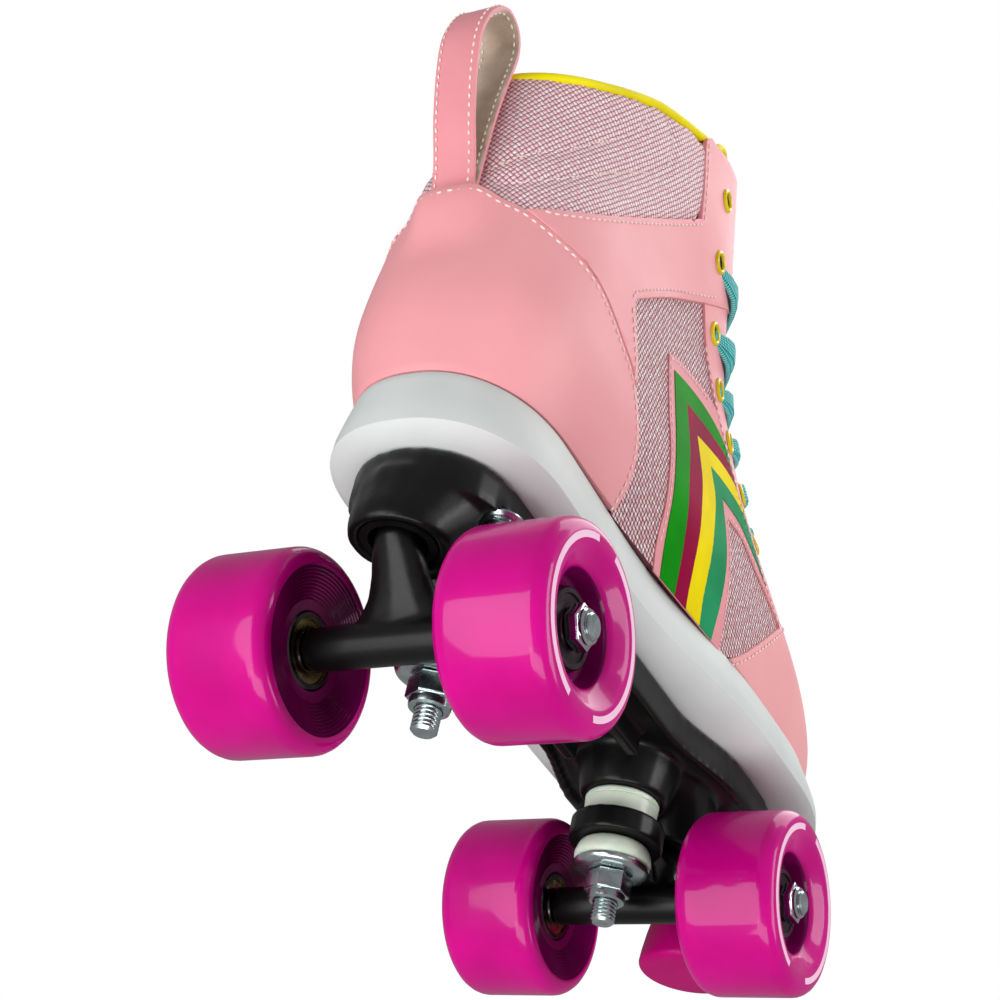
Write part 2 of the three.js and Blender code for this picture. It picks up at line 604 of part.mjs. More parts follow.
// One stretch of lace from a right eyelet to a left one, just outside the boot and arching over the instep.
function laceStretch([rightY, rightZ], [leftY, leftZ]) {
  const { steps, lift, middleLift, width, thickness } = LACE;
  const { lowSum, lowRise, highSum, highRise } = LACE_ARCH;
  const from = shareAt(rightY, rightZ);
  const to = 2 - shareAt(leftY, leftZ);
  const arch = THREE.MathUtils.mapLinear(rightZ + leftZ, lowSum, highSum, lowRise, highRise);
  const points = Array.from({ length: steps + 1 }, (_, k) => {
    const t = k / steps;
    const middle = 1 - (2 * t - 1) ** 2;
    const depth = -THREE.MathUtils.lerp(lift, middleLift, middle);
    const z = THREE.MathUtils.lerp(rightZ, leftZ, t) + arch * middle;
    return [wrapped(THREE.MathUtils.lerp(from, to, t)), z, depth];
  });
  const route = points.map(([s, z, depth]) => insidePoint(LAST, NO_WAIST, s, z, depth));
  const across = points.map(([s, z, depth], k) => {
    const outwards = insidePoint(LAST, NO_WAIST, s, z, depth - 1).sub(route[k]);
    const forward = route[Math.min(k + 1, steps)].clone().sub(route[Math.max(k - 1, 0)]);
    return outwards.cross(forward);
  });
  return band(route, across, width, thickness);
}

function lacesShape() {
  const laced = EYELETS.slice(1);
  const crossings = laced.slice(1).flatMap((eyelet, k) => (
    [laceStretch(laced[k], eyelet), laceStretch(eyelet, laced[k])]));
  return unite(...crossings, laceStretch(laced.at(-1), laced.at(-1)));
}

// Piping along the top edge of the collar and the quarters.
function bindingShape() {
  const { radius, lift, depth, steps } = BINDING;
  const reach = shareAt(BINDING.endY, BINDING.endZ);
  const heightAt = (y) => {
    const next = COLLAR_TOP.findIndex(([edgeY]) => edgeY > y);
    const [[y0, z0], [y1, z1]] = [COLLAR_TOP[next - 1], COLLAR_TOP[next]];
    return THREE.MathUtils.mapLinear(y, y0, y1, z0, z1);
  };
  const route = Array.from({ length: steps + 1 }, (_, k) => {
    const s = THREE.MathUtils.lerp(-reach, reach, k / steps);
    const edge = heightAt(onOutline(LAST, NO_WAIST, s, 240).y);
    const z = heightAt(onOutline(LAST, NO_WAIST, s, edge).y) + lift;
    return insidePoint(LAST, NO_WAIST, s, z, depth).setZ(z);
  });
  const section = new THREE.Shape().absarc(0, 0, radius, 0, 2 * Math.PI, false);
  const settings = { extrudePath: new THREE.CatmullRomCurve3(route), steps, curveSegments: 3 };
  return new THREE.ExtrudeGeometry(section, settings);
}

// ---- Assembly -----------------------------------------------------------------------------------------

const BLACK_NYLON = new THREE.MeshStandardMaterial({ color: 0x1b1b1a, roughness: 0.45, metalness: 0 });
const ZINC = new THREE.MeshStandardMaterial({ color: 0xc9d2d2, roughness: 0.25, metalness: 1 });
const URETHANE = new THREE.MeshStandardMaterial({ color: 0xe40d8c, roughness: 0.25, metalness: 0 });
const CUSHION = new THREE.MeshStandardMaterial({ color: 0xdfeadb, roughness: 0.5, metalness: 0 });
const BEARING_STEEL = new THREE.MeshStandardMaterial({ color: 0x6c6250, roughness: 0.3, metalness: 1 });
const PINK = new THREE.MeshStandardMaterial({ color: 0xf2a7ad, roughness: 0.6, metalness: 0 });
const MESH_CLOTH = new THREE.MeshStandardMaterial({ color: 0xd59aa6, roughness: 0.9, metalness: 0 });
const WHITE_RUBBER = new THREE.MeshStandardMaterial({ color: 0xe9eceb, roughness: 0.55, metalness: 0 });
const YELLOW = new THREE.MeshStandardMaterial({ color: 0xf2e21b, roughness: 0.6, metalness: 0 });
const TEAL = new THREE.MeshStandardMaterial({ color: 0x2fa3a6, roughness: 0.8, metalness: 0 });
const BEIGE = new THREE.MeshStandardMaterial({ color: 0xcdb5a2, roughness: 0.85, metalness: 0 });

const skate = new THREE.Group();

function add(name, geometry, material, parent = skate) {
  const mesh = new THREE.Mesh(geometry, material.clone());
  mesh.name = name;
  parent.add(mesh);
  return mesh;
}

function addTruck(end, turn) {
  const truck = new THREE.Group();
  truck.rotation.z = turn;
  add(`hanger_${end}`, hangerShape(), BLACK_NYLON, truck);
  add(`axle_${end}`, axleShape(), ZINC, truck);
  add(`pivot_cup_${end}`, pivotCupShape(), CUSHION, truck);
  add(`kingpin_${end}`, kingpinShape(), ZINC, truck);
  add(`kingpin_nut_${end}`, kingpinNutShape(), ZINC, truck);
  add(`cushion_retainer_${end}`, retainerShape(), ZINC, truck);
  add(`lower_cushion_${end}`, cushionShape(LOWER_CUSHION), CUSHION, truck);
  add(`upper_cushion_${end}`, cushionShape(UPPER_CUSHION), CUSHION, truck);
  skate.add(truck);
}

function addWheel(name, x, y, turn) {
  const wheel = new THREE.Group();
  wheel.position.set(x, y, WHEEL.radius);
  wheel.rotation.z = turn;
  add(`wheel_${name}`, wheelShape(), URETHANE, wheel);
  add(`inner_bearing_${name}`, bearingShape(INNER_BEARING), BEARING_STEEL, wheel);
  add(`outer_bearing_${name}`, bearingShape(OUTER_BEARING), BEARING_STEEL, wheel);
  add(`bearing_spacer_${name}`, spacerShape(), ZINC, wheel);
  add(`axle_nut_${name}`, axleNutShape(), ZINC, wheel);
  skate.add(wheel);
}

add('plate', plateShape(), BLACK_NYLON);
addTruck('front', 0);
addTruck('rear', Math.PI);
for (const [end, y] of [['front', HALF_BASE], ['rear', -HALF_BASE]]) {
  addWheel(`${end}_right`, HALF_TRACK, y, 0);
  addWheel(`${end}_left`, -HALF_TRACK, y, Math.PI);
}
for (const [name, x, y] of boltPlaces()) {
  add(`plate_bolt_${name}`, boltShape().translate(x, y, 0), ZINC);
  add(`plate_nut_${name}`, boltNutShape().translate(x, y, 0), ZINC);
}
add('toe_stop_pad', stopPadShape(), URETHANE);
add('toe_stop_stem', stopStemShape(), ZINC);
add('toe_stop_nut', stopNutShape(), ZINC);
add('cup_sole', soleShape(), WHITE_RUBBER);
add('insole', insoleShape(), BEIGE);
add('heel_counter', heelCounterShape(), PINK);
add('toe_cap', toeCapShape(), PINK);
add('quarter_right', quarterShape(1), PINK);
add('quarter_left', quarterShape(-1), PINK);
add('padded_collar', collarShape(), MESH_CLOTH);
add('tongue', tongueShape(), MESH_CLOTH);
add('pull_loop', pullLoopShape(), PINK);
add('collar_binding', bindingShape(), YELLOW);
add('laces', lacesShape(), TEAL);

// The origin goes under the middle of the skate's box.
const placed = new THREE.Group();
skate.position.y = -(BACK_END + TOE_END) / 2;
placed.add(skate);

export default placed;
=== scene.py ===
"""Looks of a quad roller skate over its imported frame: metres, +X right, +Y towards the toe, +Z up.

Shapes are worked out in millimetres with Y = 0 midway between the axles, and moved to the frame when each
piece is finished.
"""
import math
from functools import lru_cache

import bmesh
import bpy
from mathutils import Matrix, Vector
from mathutils.bvhtree import BVHTree


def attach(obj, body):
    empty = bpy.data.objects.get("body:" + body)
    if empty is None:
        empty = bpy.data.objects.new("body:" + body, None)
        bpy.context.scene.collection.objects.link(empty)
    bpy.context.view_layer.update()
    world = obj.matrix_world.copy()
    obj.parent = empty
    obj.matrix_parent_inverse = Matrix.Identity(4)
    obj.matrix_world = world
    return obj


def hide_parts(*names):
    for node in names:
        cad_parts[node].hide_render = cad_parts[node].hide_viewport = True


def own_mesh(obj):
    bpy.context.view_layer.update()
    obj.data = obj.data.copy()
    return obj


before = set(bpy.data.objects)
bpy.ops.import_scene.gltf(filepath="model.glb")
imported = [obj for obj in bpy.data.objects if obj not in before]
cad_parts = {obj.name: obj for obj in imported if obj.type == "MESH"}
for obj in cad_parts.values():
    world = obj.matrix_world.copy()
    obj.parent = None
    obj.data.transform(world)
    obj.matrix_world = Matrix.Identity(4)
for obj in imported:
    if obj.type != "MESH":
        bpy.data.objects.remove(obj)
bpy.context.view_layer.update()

MM = 0.001
MIDDLE_Y = -19.4  # where the axles' middle lies along the frame's Y
TO_FRAME = Matrix.Translation((0, MIDDLE_Y * MM, 0)) @ Matrix.Scale(MM, 4)
BOOT = "boot"
SIDES = {"right": 1, "left": -1}
ENDS = {"front": 1, "rear": -1}


# ---- Camera, light and floor ---------------------------------------------------------------------

def new_object(name, data):
    obj = bpy.data.objects.new(name, data)
    bpy.context.scene.collection.objects.link(obj)
    return obj


def direction(azimuth, elevation):
    """Unit vector towards a viewpoint in degrees: 0 is behind the heel, 90 on the skate's right."""
    a, e = math.radians(azimuth), math.radians(elevation)
    return Vector((math.sin(a) * math.cos(e), -math.cos(a) * math.cos(e), math.sin(e)))


def aim(obj, azimuth, elevation, roll=0.0):
    """Turns a camera or a lamp so that it looks back along a direction given in degrees."""
    back = direction(azimuth, elevation)
    right = back.cross(Vector((0, 0, -1))).normalized()
    up = right.cross(-back)
    r = math.radians(roll)
    turned_right = right * math.cos(r) + up * math.sin(r)
    turned_up = up * math.cos(r) - right * math.sin(r)
    facing = Matrix((turned_right, turned_up, back)).transposed().to_4x4()
    obj.matrix_world = Matrix.Translation(obj.location) @ facing


CAMERA_PLACE = (0.2701, -0.4775, -0.2244)
CAMERA_TURN = (33.51, -33.44, 13.11)  # azimuth, elevation and roll in degrees
LIGHT_CENTRE = Vector((0, 0, 0.13))


def set_camera():
    data = bpy.data.cameras.new("camera")
    data.lens = 70.5
    data.sensor_width = 36
    data.clip_start = 0.01
    camera = new_object("camera", data)
    camera.location = CAMERA_PLACE
    aim(camera, *CAMERA_TURN)
    bpy.context.scene.camera = camera


def softbox(name, azimuth, elevation, distance, size, watts):
    data = bpy.data.lights.new(name, "AREA")
    data.shape = "RECTANGLE"
    data.size, data.size_y = size
    data.energy = watts
    lamp = new_object(name, data)
    lamp.location = LIGHT_CENTRE + direction(azimuth, elevation) * distance
    aim(lamp, azimuth, elevation)


def make_floor():
    """A pale floor that only shows from above, so that it never hides the skate from below."""
    bm = bmesh.new()
    bmesh.ops.create_grid(bm, x_segments=1, y_segments=1, size=6)
    data = bpy.data.meshes.new("floor")
    bm.to_mesh(data)
    bm.free()
    floor = new_object("floor", data)
    floor.location.z = -0.0006
    paper, tree, shader = new_material("matt paper, pale")
    set_sockets(shader, {"Base Color": linear("#9c9c9a"), "Roughness": 0.9, "Emission Color": linear("#ffffff"),
                         "Emission Strength": 0.72})
    facing_up = add(tree, "ShaderNodeNewGeometry").outputs["Backfacing"]
    clear = add(tree, "ShaderNodeBsdfTransparent").outputs["BSDF"]
    both = add(tree, "ShaderNodeMixShader", {0: facing_up, 1: shader.outputs["BSDF"], 2: clear})
    tree.links.new(both.outputs["Shader"], tree.nodes["Material Output"].inputs["Surface"])
    data.materials.append(paper)
    floor.visible_diffuse = floor.visible_glossy = floor.visible_shadow = False


def make_world():
    """White behind the skate, and a dimmer white that fills its shadows."""
    world = bpy.data.worlds.new("studio")
    bpy.context.scene.world = world
    world.use_nodes = True
    tree = world.node_tree
    background = tree.nodes["Background"]
    set_sockets(background, {"Color": linear("#ffffff")})
    seen = add(tree, "ShaderNodeLightPath").outputs["Is Camera Ray"]
    strength = add(tree, "ShaderNodeMapRange", {"Value": seen, "To Min": 0.27, "To Max": 1.0})
    tree.links.new(strength.outputs["Result"], background.inputs["Strength"])


# ---- Materials -----------------------------------------------------------------------------------

def linear(colour):
    """Linear red, green, blue and alpha of an sRGB hex colour."""
    values = [int(colour[i:i + 2], 16) / 255 for i in (1, 3, 5)]
    return tuple(v / 12.92 if v <= 0.04045 else ((v + 0.055) / 1.055) ** 2.4 for v in values) + (1.0,)


def add(tree, kind, inputs=None, **settings):
    """Adds a node with its settings; an input that is another node's output is linked."""
    made = tree.nodes.new(kind)
    for key, value in settings.items():
        setattr(made, key, value)
    for key, value in (inputs or {}).items():
        if isinstance(value, bpy.types.NodeSocket):
            tree.links.new(value, made.inputs[key])
        else:
            made.inputs[key].default_value = value
    return made


def new_material(name):
    made = bpy.data.materials.new(name)
    made.use_nodes = True
    tree = made.node_tree
    shader = tree.nodes["Principled BSDF"]
    return made, tree, shader


def set_sockets(shader, values):
    for key, value in values.items():
        shader.inputs[key].default_value = value


def mottled(tree, where, pale, dark, size_mm, contrast=(0.35, 0.65)):
    """Soft patches between two colours, size_mm across."""
    noise = add(tree, "ShaderNodeTexNoise", {"Vector": where, "Scale": 1 / (size_mm * MM), "Detail": 3.0})
    ramp = add(tree, "ShaderNodeValToRGB", {"Fac": noise.outputs["Fac"]})
    ramp.color_ramp.elements[0].position, ramp.color_ramp.elements[1].position = contrast
    ramp.color_ramp.elements[0].color = linear(dark)
    ramp.color_ramp.elements[1].color = linear(pale)
    return ramp.outputs["Color"]


def finish_of(name, pale, dark, patch_mm, contrast=(0.35, 0.65), **sockets):
    """A material whose colour drifts between two tones in soft patches; sockets are uniform values."""
    made, tree, shader = new_material(name)
    place = add(tree, "ShaderNodeTexCoord").outputs["Object"]
    tree.links.new(mottled(tree, place, pale, dark, patch_mm, contrast), shader.inputs["Base Color"])
    set_sockets(shader, {key.replace("_", " "): value for key, value in sockets.items()})
    return made, tree, shader, place


def grained(tree, shader, place, size_mm, depth_mm, strength, detail=None, under=None):
    """Raises a grain in the surface, pebbled or, where detail is given, cloudy; under is a finer bump."""
    if detail is None:
        grain = add(tree, "ShaderNodeTexVoronoi", {"Vector": place, "Scale": 1 / (size_mm * MM)},
                    feature="SMOOTH_F1").outputs["Distance"]
    else:
        grain = add(tree, "ShaderNodeTexNoise", {"Vector": place, "Scale": 1 / (size_mm * MM),
                                                 "Detail": detail}).outputs["Fac"]
    inputs = {"Height": grain, "Distance": depth_mm * MM, "Strength": strength}
    if under is not None:
        inputs["Normal"] = under
    raised = add(tree, "ShaderNodeBump", inputs).outputs["Normal"]
    tree.links.new(raised, shader.inputs["Normal"])
    return grain, raised


def gloss_varies(tree, shader, value, low, high):
    """Lets the roughness follow a texture's value between two limits."""
    rough = add(tree, "ShaderNodeMapRange", {"Value": value, "To Min": low, "To Max": high})
    tree.links.new(rough.outputs["Result"], shader.inputs["Roughness"])


# Cast polyurethane wheels: dyed through, poured and turned, so the skin is glossy and very even.
def cast_urethane(name, pale, dark, roughness=0.3, coat=0.4):
    made, tree, shader, place = finish_of(name, pale, dark, 24, Roughness=roughness, Specular_IOR_Level=0.1,
                                          Coat_Weight=coat, Coat_Roughness=0.06)
    grained(tree, shader, place, 6, 0.05, 0.25, detail=2.0)
    return made


# Injection-moulded glass-filled nylon: a satin black with a faint orange-peel skin.
def moulded_nylon():
    made, tree, shader, place = finish_of("moulded nylon, satin black", "#0e0e0d", "#080808", 30,
                                          Specular_IOR_Level=0.3)
    skin, _ = grained(tree, shader, place, 0.9, 0.04, 0.5, detail=3.0)
    gloss_varies(tree, shader, skin, 0.28, 0.42)
    return made


# Bright zinc plating on turned steel: cool grey with cloudy patches in its gloss.
def plated_steel(name, pale, dark, roughness):
    made, tree, shader, place = finish_of(name, pale, dark, 5, Metallic=1.0)
    cloud = add(tree, "ShaderNodeTexNoise", {"Vector": place, "Scale": 1 / (2.5 * MM), "Detail": 4.0})
    gloss_varies(tree, shader, cloud.outputs["Fac"], roughness * 0.7, roughness * 1.4)
    return made


# Milky urethane of the cushions: light goes a little way in.
def milky_urethane():
    return finish_of("cast urethane, milky white", "#e6f2e2", "#d6e4d0", 8, Roughness=0.32, IOR=1.5,
                     Subsurface_Weight=0.35, Subsurface_Scale=0.002, Coat_Weight=0.15)[0]


# Polyurethane-coated synthetic leather: fine pebbled grain about 0.7 mm across under a soft, even sheen.
def synthetic_leather(name, pale, dark, roughness=0.46):
    made, tree, shader, place = finish_of(name, pale, dark, 45, (0.3, 0.7), Specular_IOR_Level=0.35,
                                          Sheen_Weight=0.06)
    _, pebbled = grained(tree, shader, place, 0.7, 0.05, 0.35)
    creases, _ = grained(tree, shader, place, 14, 0.8, 0.25, detail=2.0, under=pebbled)
    gloss_varies(tree, shader, creases, roughness - 0.06, roughness + 0.08)
    return made


# Open basket weave of thick yarn. The threads lie pitch_mm apart on the piece's own UV map, which is laid out
# in metres, and dark gaps show between them.
def basket_weave(name, thread, fleck, gap, pitch_mm, depth_mm=0.3, turn=0.0):
    made, tree, shader = new_material(name)
    flat = add(tree, "ShaderNodeTexCoord").outputs["UV"]
    scaled = add(tree, "ShaderNodeMapping", {"Vector": flat, "Rotation": (0, 0, turn),
                                             "Scale": (1 / (pitch_mm * MM),) * 3}).outputs["Vector"]
    split = add(tree, "ShaderNodeSeparateXYZ", {"Vector": scaled})
    ridges = []
    for axis in ("X", "Y"):
        turned = add(tree, "ShaderNodeMath", {0: split.outputs[axis], 1: math.pi}, operation="MULTIPLY")
        wave = add(tree, "ShaderNodeMath", {0: turned.outputs[0]}, operation="SINE")
        ridges.append(add(tree, "ShaderNodeMath", {0: wave.outputs[0]}, operation="ABSOLUTE").outputs[0])
    checker = add(tree, "ShaderNodeTexChecker", {"Vector": scaled, "Scale": 1.0})
    over = add(tree, "ShaderNodeMix", {"Factor": checker.outputs["Fac"], 2: ridges[0], 3: ridges[1]},
               data_type="FLOAT").outputs[0]
    side = add(tree, "ShaderNodeMix", {"Factor": checker.outputs["Fac"], 2: ridges[1], 3: ridges[0]},
               data_type="FLOAT").outputs[0]
    rounded = add(tree, "ShaderNodeMath", {0: side, 1: 0.35}, operation="POWER").outputs[0]
    height = add(tree, "ShaderNodeMath", {0: over, 1: rounded}, operation="MULTIPLY").outputs[0]
    flecks = add(tree, "ShaderNodeTexNoise", {"Vector": scaled, "Scale": 0.9, "Detail": 2.0})
    yarn = add(tree, "ShaderNodeValToRGB", {"Fac": flecks.outputs["Fac"]})
    yarn.color_ramp.elements[0].position, yarn.color_ramp.elements[1].position = 0.42, 0.62
    yarn.color_ramp.elements[0].color, yarn.color_ramp.elements[1].color = linear(thread), linear(fleck)
    show = add(tree, "ShaderNodeMapRange", {"Value": height, "From Min": 0.3, "From Max": 0.62})
    colour = add(tree, "ShaderNodeMix", {"Factor": show.outputs["Result"], 6: linear(gap),
                                         7: yarn.outputs["Color"]}, data_type="RGBA").outputs[2]
    tree.links.new(colour, shader.inputs["Base Color"])
    raised = add(tree, "ShaderNodeBump", {"Height": height, "Distance": depth_mm * MM, "Strength": 1.0})
    tree.links.new(raised.outputs["Normal"], shader.inputs["Normal"])
    set_sockets(shader, {"Roughness": 0.5, "Specular IOR Level": 0.4, "Sheen Weight": 0.08})
    return made


# Brushed knit lining: matt and slightly fuzzy.
def brushed_lining():
    made, tree, shader, place = finish_of("brushed knit lining, beige", "#d6c0ad", "#bda48f", 9, Roughness=0.9,
                                          Sheen_Weight=0.4)
    grained(tree, shader, place, 0.8, 0.2, 0.7, detail=4.0)
    return made


# Compression-moulded white rubber: satin, with a fine pebble about 0.6 mm across.
def white_rubber():
    made, tree, shader, place = finish_of("moulded rubber, white", "#d6dad8", "#ccd1cf", 40, Roughness=0.5,
                                          IOR=1.52)
    grained(tree, shader, place, 0.6, 0.05, 0.4)
    return made


# A smooth film or coating in one colour, with faint mottling in its tone and a fine cloudy bump.
def smooth_coat(name, pale, dark, roughness, grain_mm=0.7, coat=0.0, specular=0.2):
    made, tree, shader, place = finish_of(name, pale, dark, 20, Roughness=roughness, Coat_Weight=coat,
                                          Specular_IOR_Level=specular)
    grained(tree, shader, place, grain_mm, 0.04, 0.4, detail=2.0)
    return made


# Flat-braided polyester lace: crossing yarns with pale flecks, on the lace's own UV map.
def braided_lace():
    made, tree, shader = new_material("braided polyester, teal")
    flat = add(tree, "ShaderNodeTexCoord").outputs["UV"]
    split = add(tree, "ShaderNodeSeparateXYZ", {"Vector": flat})
    along, across = split.outputs["X"], split.outputs["Y"]
    strands = []
    for sign in (1, -1):
        slanted = add(tree, "ShaderNodeMath", {0: across, 1: 0.8 * sign, 2: along},
                      operation="MULTIPLY_ADD").outputs[0]
        turned = add(tree, "ShaderNodeMath", {0: slanted, 1: 2 * math.pi / (2.0 * MM)}, operation="MULTIPLY")
        strands.append(add(tree, "ShaderNodeMath", {0: turned.outputs[0]}, operation="SINE").outputs[0])
    knots = add(tree, "ShaderNodeMath", {0: strands[0], 1: strands[1]}, operation="MULTIPLY").outputs[0]
    show = add(tree, "ShaderNodeMapRange", {"Value": knots, "From Min": -0.8, "From Max": 0.9})
    ramp = add(tree, "ShaderNodeValToRGB", {"Fac": show.outputs["Result"]})
    ramp.color_ramp.elements[0].color = linear("#06585c")
    ramp.color_ramp.elements[1].color = linear("#a8f0ec")
    middle = ramp.color_ramp.elements.new(0.45)
    middle.color = linear("#2cbcbe")
    tree.links.new(ramp.outputs["Color"], shader.inputs["Base Color"])
    raised = add(tree, "ShaderNodeBump", {"Height": show.outputs["Result"], "Distance": 0.4 * MM,
                                          "Strength": 1.0})
    tree.links.new(raised.outputs["Normal"], shader.inputs["Normal"])
    set_sockets(shader, {"Roughness": 0.55, "Specular IOR Level": 0.15})
    return made


MAGENTA = cast_urethane("cast urethane, magenta", "#d00088", "#c0007c")
STOP_RUBBER = cast_urethane("moulded rubber, magenta", "#c80078", "#b6006c", 0.5, 0.1)
# Painted shade: a darker magenta for the hub's well and the wheel's inner face, which lie in shadow.
SHADE_MAGENTA = cast_urethane("cast urethane, magenta darkened as painted shade", "#86005e", "#6e004c", 0.3, 0.3)
NYLON = moulded_nylon()
ZINC = plated_steel("bright zinc plated steel", "#d3dcdc", "#b4c2c4", 0.24)
CHROME = plated_steel("chromed steel", "#dfe3e5", "#c8ced1", 0.1)
# Black rubber seal, darkened further and tinted purple as painted shade deep in the wheel's hub.
SHADED_SEAL = smooth_coat("bearing seal, black rubber darkened as painted shade", "#241820", "#140c12", 0.35, 1.5)
BRONZE = plated_steel("bearing shield, bronze tinted steel", "#a08a5c", "#6d5d3c", 0.25)
# Ground steel rings, darkened and tinted purple as painted shade inside the hub.
SHADED_RING_STEEL = plated_steel("bearing ring, ground steel darkened purple as painted shade", "#5d535a", "#40383e", 0.22)
CUSHION = milky_urethane()
PINK = synthetic_leather("synthetic leather, pink", "#f3a6ab", "#ee9da4")
PINK_TOE = synthetic_leather("synthetic leather, pink toe", "#f7aeb1", "#f1a4a8")
PINK_STRAP = synthetic_leather("synthetic leather, pink strap", "#ef9aa3", "#e48f99")
WEAVE = basket_weave("woven polyester mesh, pink", "#e6a8af", "#fff0f0", "#6a2635", 1.6, 0.45, 0.3)
COLLAR_WEAVE = basket_weave("woven polyester mesh, pale pink", "#f8ccd2", "#fff5f5", "#b56c7c", 1.6, 0.4, 0.6)
LINING = brushed_lining()
RUBBER = white_rubber()
THREAD = smooth_coat("polyester thread, pale pink", "#fdebe8", "#f6d9d5", 0.7, 0.4)
STRAP_THREAD = smooth_coat("polyester thread, cream", "#fff4ea", "#f0dfd0", 0.7, 0.4)
YELLOW_PIPE = smooth_coat("woven piping, yellow", "#f7ea00", "#e8d800", 0.55, 0.5)
EYELET_YELLOW = smooth_coat("enamelled eyelet, yellow", "#f0d80c", "#dcc206", 0.25, 1.5, 0.4)
GREEN = smooth_coat("printed film, green", "#079208", "#048404", 0.45, specular=0.06)
MAROON = smooth_coat("printed film, maroon", "#9a0040", "#8a0036", 0.45, specular=0.06)
SUN_YELLOW = smooth_coat("printed film, yellow", "#f6e000", "#ead200", 0.45, specular=0.06)
TEAL_FILM = smooth_coat("printed film, teal", "#2a9a66", "#208a58", 0.45, specular=0.06)
PINK_BORDER = synthetic_leather("synthetic leather, pink border", "#eb9ba2", "#e39098")
PRINT_WHITE = smooth_coat("pad print, pale pink", "#ffd9ef", "#ffc9e6", 0.3)
HOLE_BLACK = smooth_coat("shadowed hole, dark", "#2a1216", "#1c0c0f", 0.8)
LACE = braided_lace()


# ---- Making and placing pieces -------------------------------------------------------------------

def piece(name, bm, body, materials, stands_for=(), sharp=35, recalc=False):
    """Turns a mesh worked out in millimetres into an object of the frame that rides on a body."""
    if recalc:
        bmesh.ops.recalc_face_normals(bm, faces=bm.faces)
    bmesh.ops.transform(bm, matrix=TO_FRAME, verts=bm.verts)
    mesh = bpy.data.meshes.new(name)
    bm.to_mesh(mesh)
    bm.free()
    for item in materials:
        mesh.materials.append(item)
    mesh.polygons.foreach_set("use_smooth", [True] * len(mesh.polygons))
    mesh.set_sharp_from_angle(angle=math.radians(sharp))
    obj = new_object(name, mesh)
    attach(obj, body)
    if stands_for:
        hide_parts(*stands_for)
    return obj


def merge(bm, part):
    """Adds another mesh to this one and frees it."""
    mesh = bpy.data.meshes.new("part")
    part.to_mesh(mesh)
    part.free()
    bm.from_mesh(mesh)
    bpy.data.meshes.remove(mesh)
    return bm


TURNS = {  # the pieces' axes are worked out along Z
    "Z": Matrix.Identity(4),
    "X": Matrix.Rotation(math.pi / 2, 4, "Y"),
    "-X": Matrix.Rotation(-math.pi / 2, 4, "Y"),
}


def round_edges(bm, edges, offset, segments):
    bmesh.ops.bevel(bm, geom=edges, offset=offset, segments=segments, profile=0.5, affect="EDGES", material=-1)


def set_in_place(bm, axis, centre, material):
    """Gives every face its material and moves a mesh worked out along Z to its axis and centre."""
    for face in bm.faces:
        face.material_index = material
    bmesh.ops.transform(bm, matrix=Matrix.Translation(centre) @ TURNS[axis], verts=bm.verts)
    return bm


def lathe(profile, sides, axis="Z", centre=(0, 0, 0), material=0):
    """Spins a profile of (radius, height) points all the way round an axis."""
    bm = bmesh.new()
    verts = [bm.verts.new((radius, 0, height)) for radius, height in profile]
    edges = [bm.edges.new(pair) for pair in zip(verts, verts[1:])]
    bmesh.ops.spin(bm, geom=verts + edges, cent=(0, 0, 0), axis=(0, 0, 1), angle=2 * math.pi, steps=sides,
                   use_merge=True)
    bmesh.ops.remove_doubles(bm, verts=bm.verts, dist=0.0005)
    bmesh.ops.recalc_face_normals(bm, faces=bm.faces)
    return set_in_place(bm, axis, centre, material)


def closed(profile):
    return list(profile) + [profile[0]]


def arc(centre, radius, start, end, steps):
    """Points of an arc in a profile, angles in degrees from the radius towards the height."""
    angles = [math.radians(start + (end - start) * k / steps) for k in range(steps + 1)]
    return [(centre[0] + radius * math.cos(a), centre[1] + radius * math.sin(a)) for a in angles]


def threaded(radius, bottom, top, pitch, depth, tip=0.8):
    """Profile of a threaded end that points down, without its closing top."""
    points = [(0, bottom), (radius - tip, bottom), (radius, bottom + tip)]
    z = bottom + tip
    while z + pitch < top:
        points += [(radius, z + pitch * 0.15), (radius - depth, z + pitch * 0.5), (radius, z + pitch * 0.85)]
        z += pitch
    return points + [(radius, top)]


def hexagon(flats, bottom, top, chamfer, axis="Z", centre=(0, 0, 0), material=0):
    """A six-sided nut's body with its edges turned off."""
    bm = bmesh.new()
    height = top - bottom
    bmesh.ops.create_cone(bm, cap_ends=True, segments=6, radius1=flats / math.sqrt(3),
                          radius2=flats / math.sqrt(3), depth=height,
                          matrix=Matrix.Translation((0, 0, (top + bottom) / 2)))
    level = [edge for edge in bm.edges if abs(edge.verts[0].co.z - edge.verts[1].co.z) < 1e-6]
    round_edges(bm, level, chamfer, 3)
    upright = [edge for edge in bm.edges if abs(edge.verts[0].co.z - edge.verts[1].co.z) > height * 0.5]
    round_edges(bm, upright, 0.25, 2)
    return set_in_place(bm, axis, centre, material)


# ---- The boot's and the sole's surfaces ----------------------------------------------------------

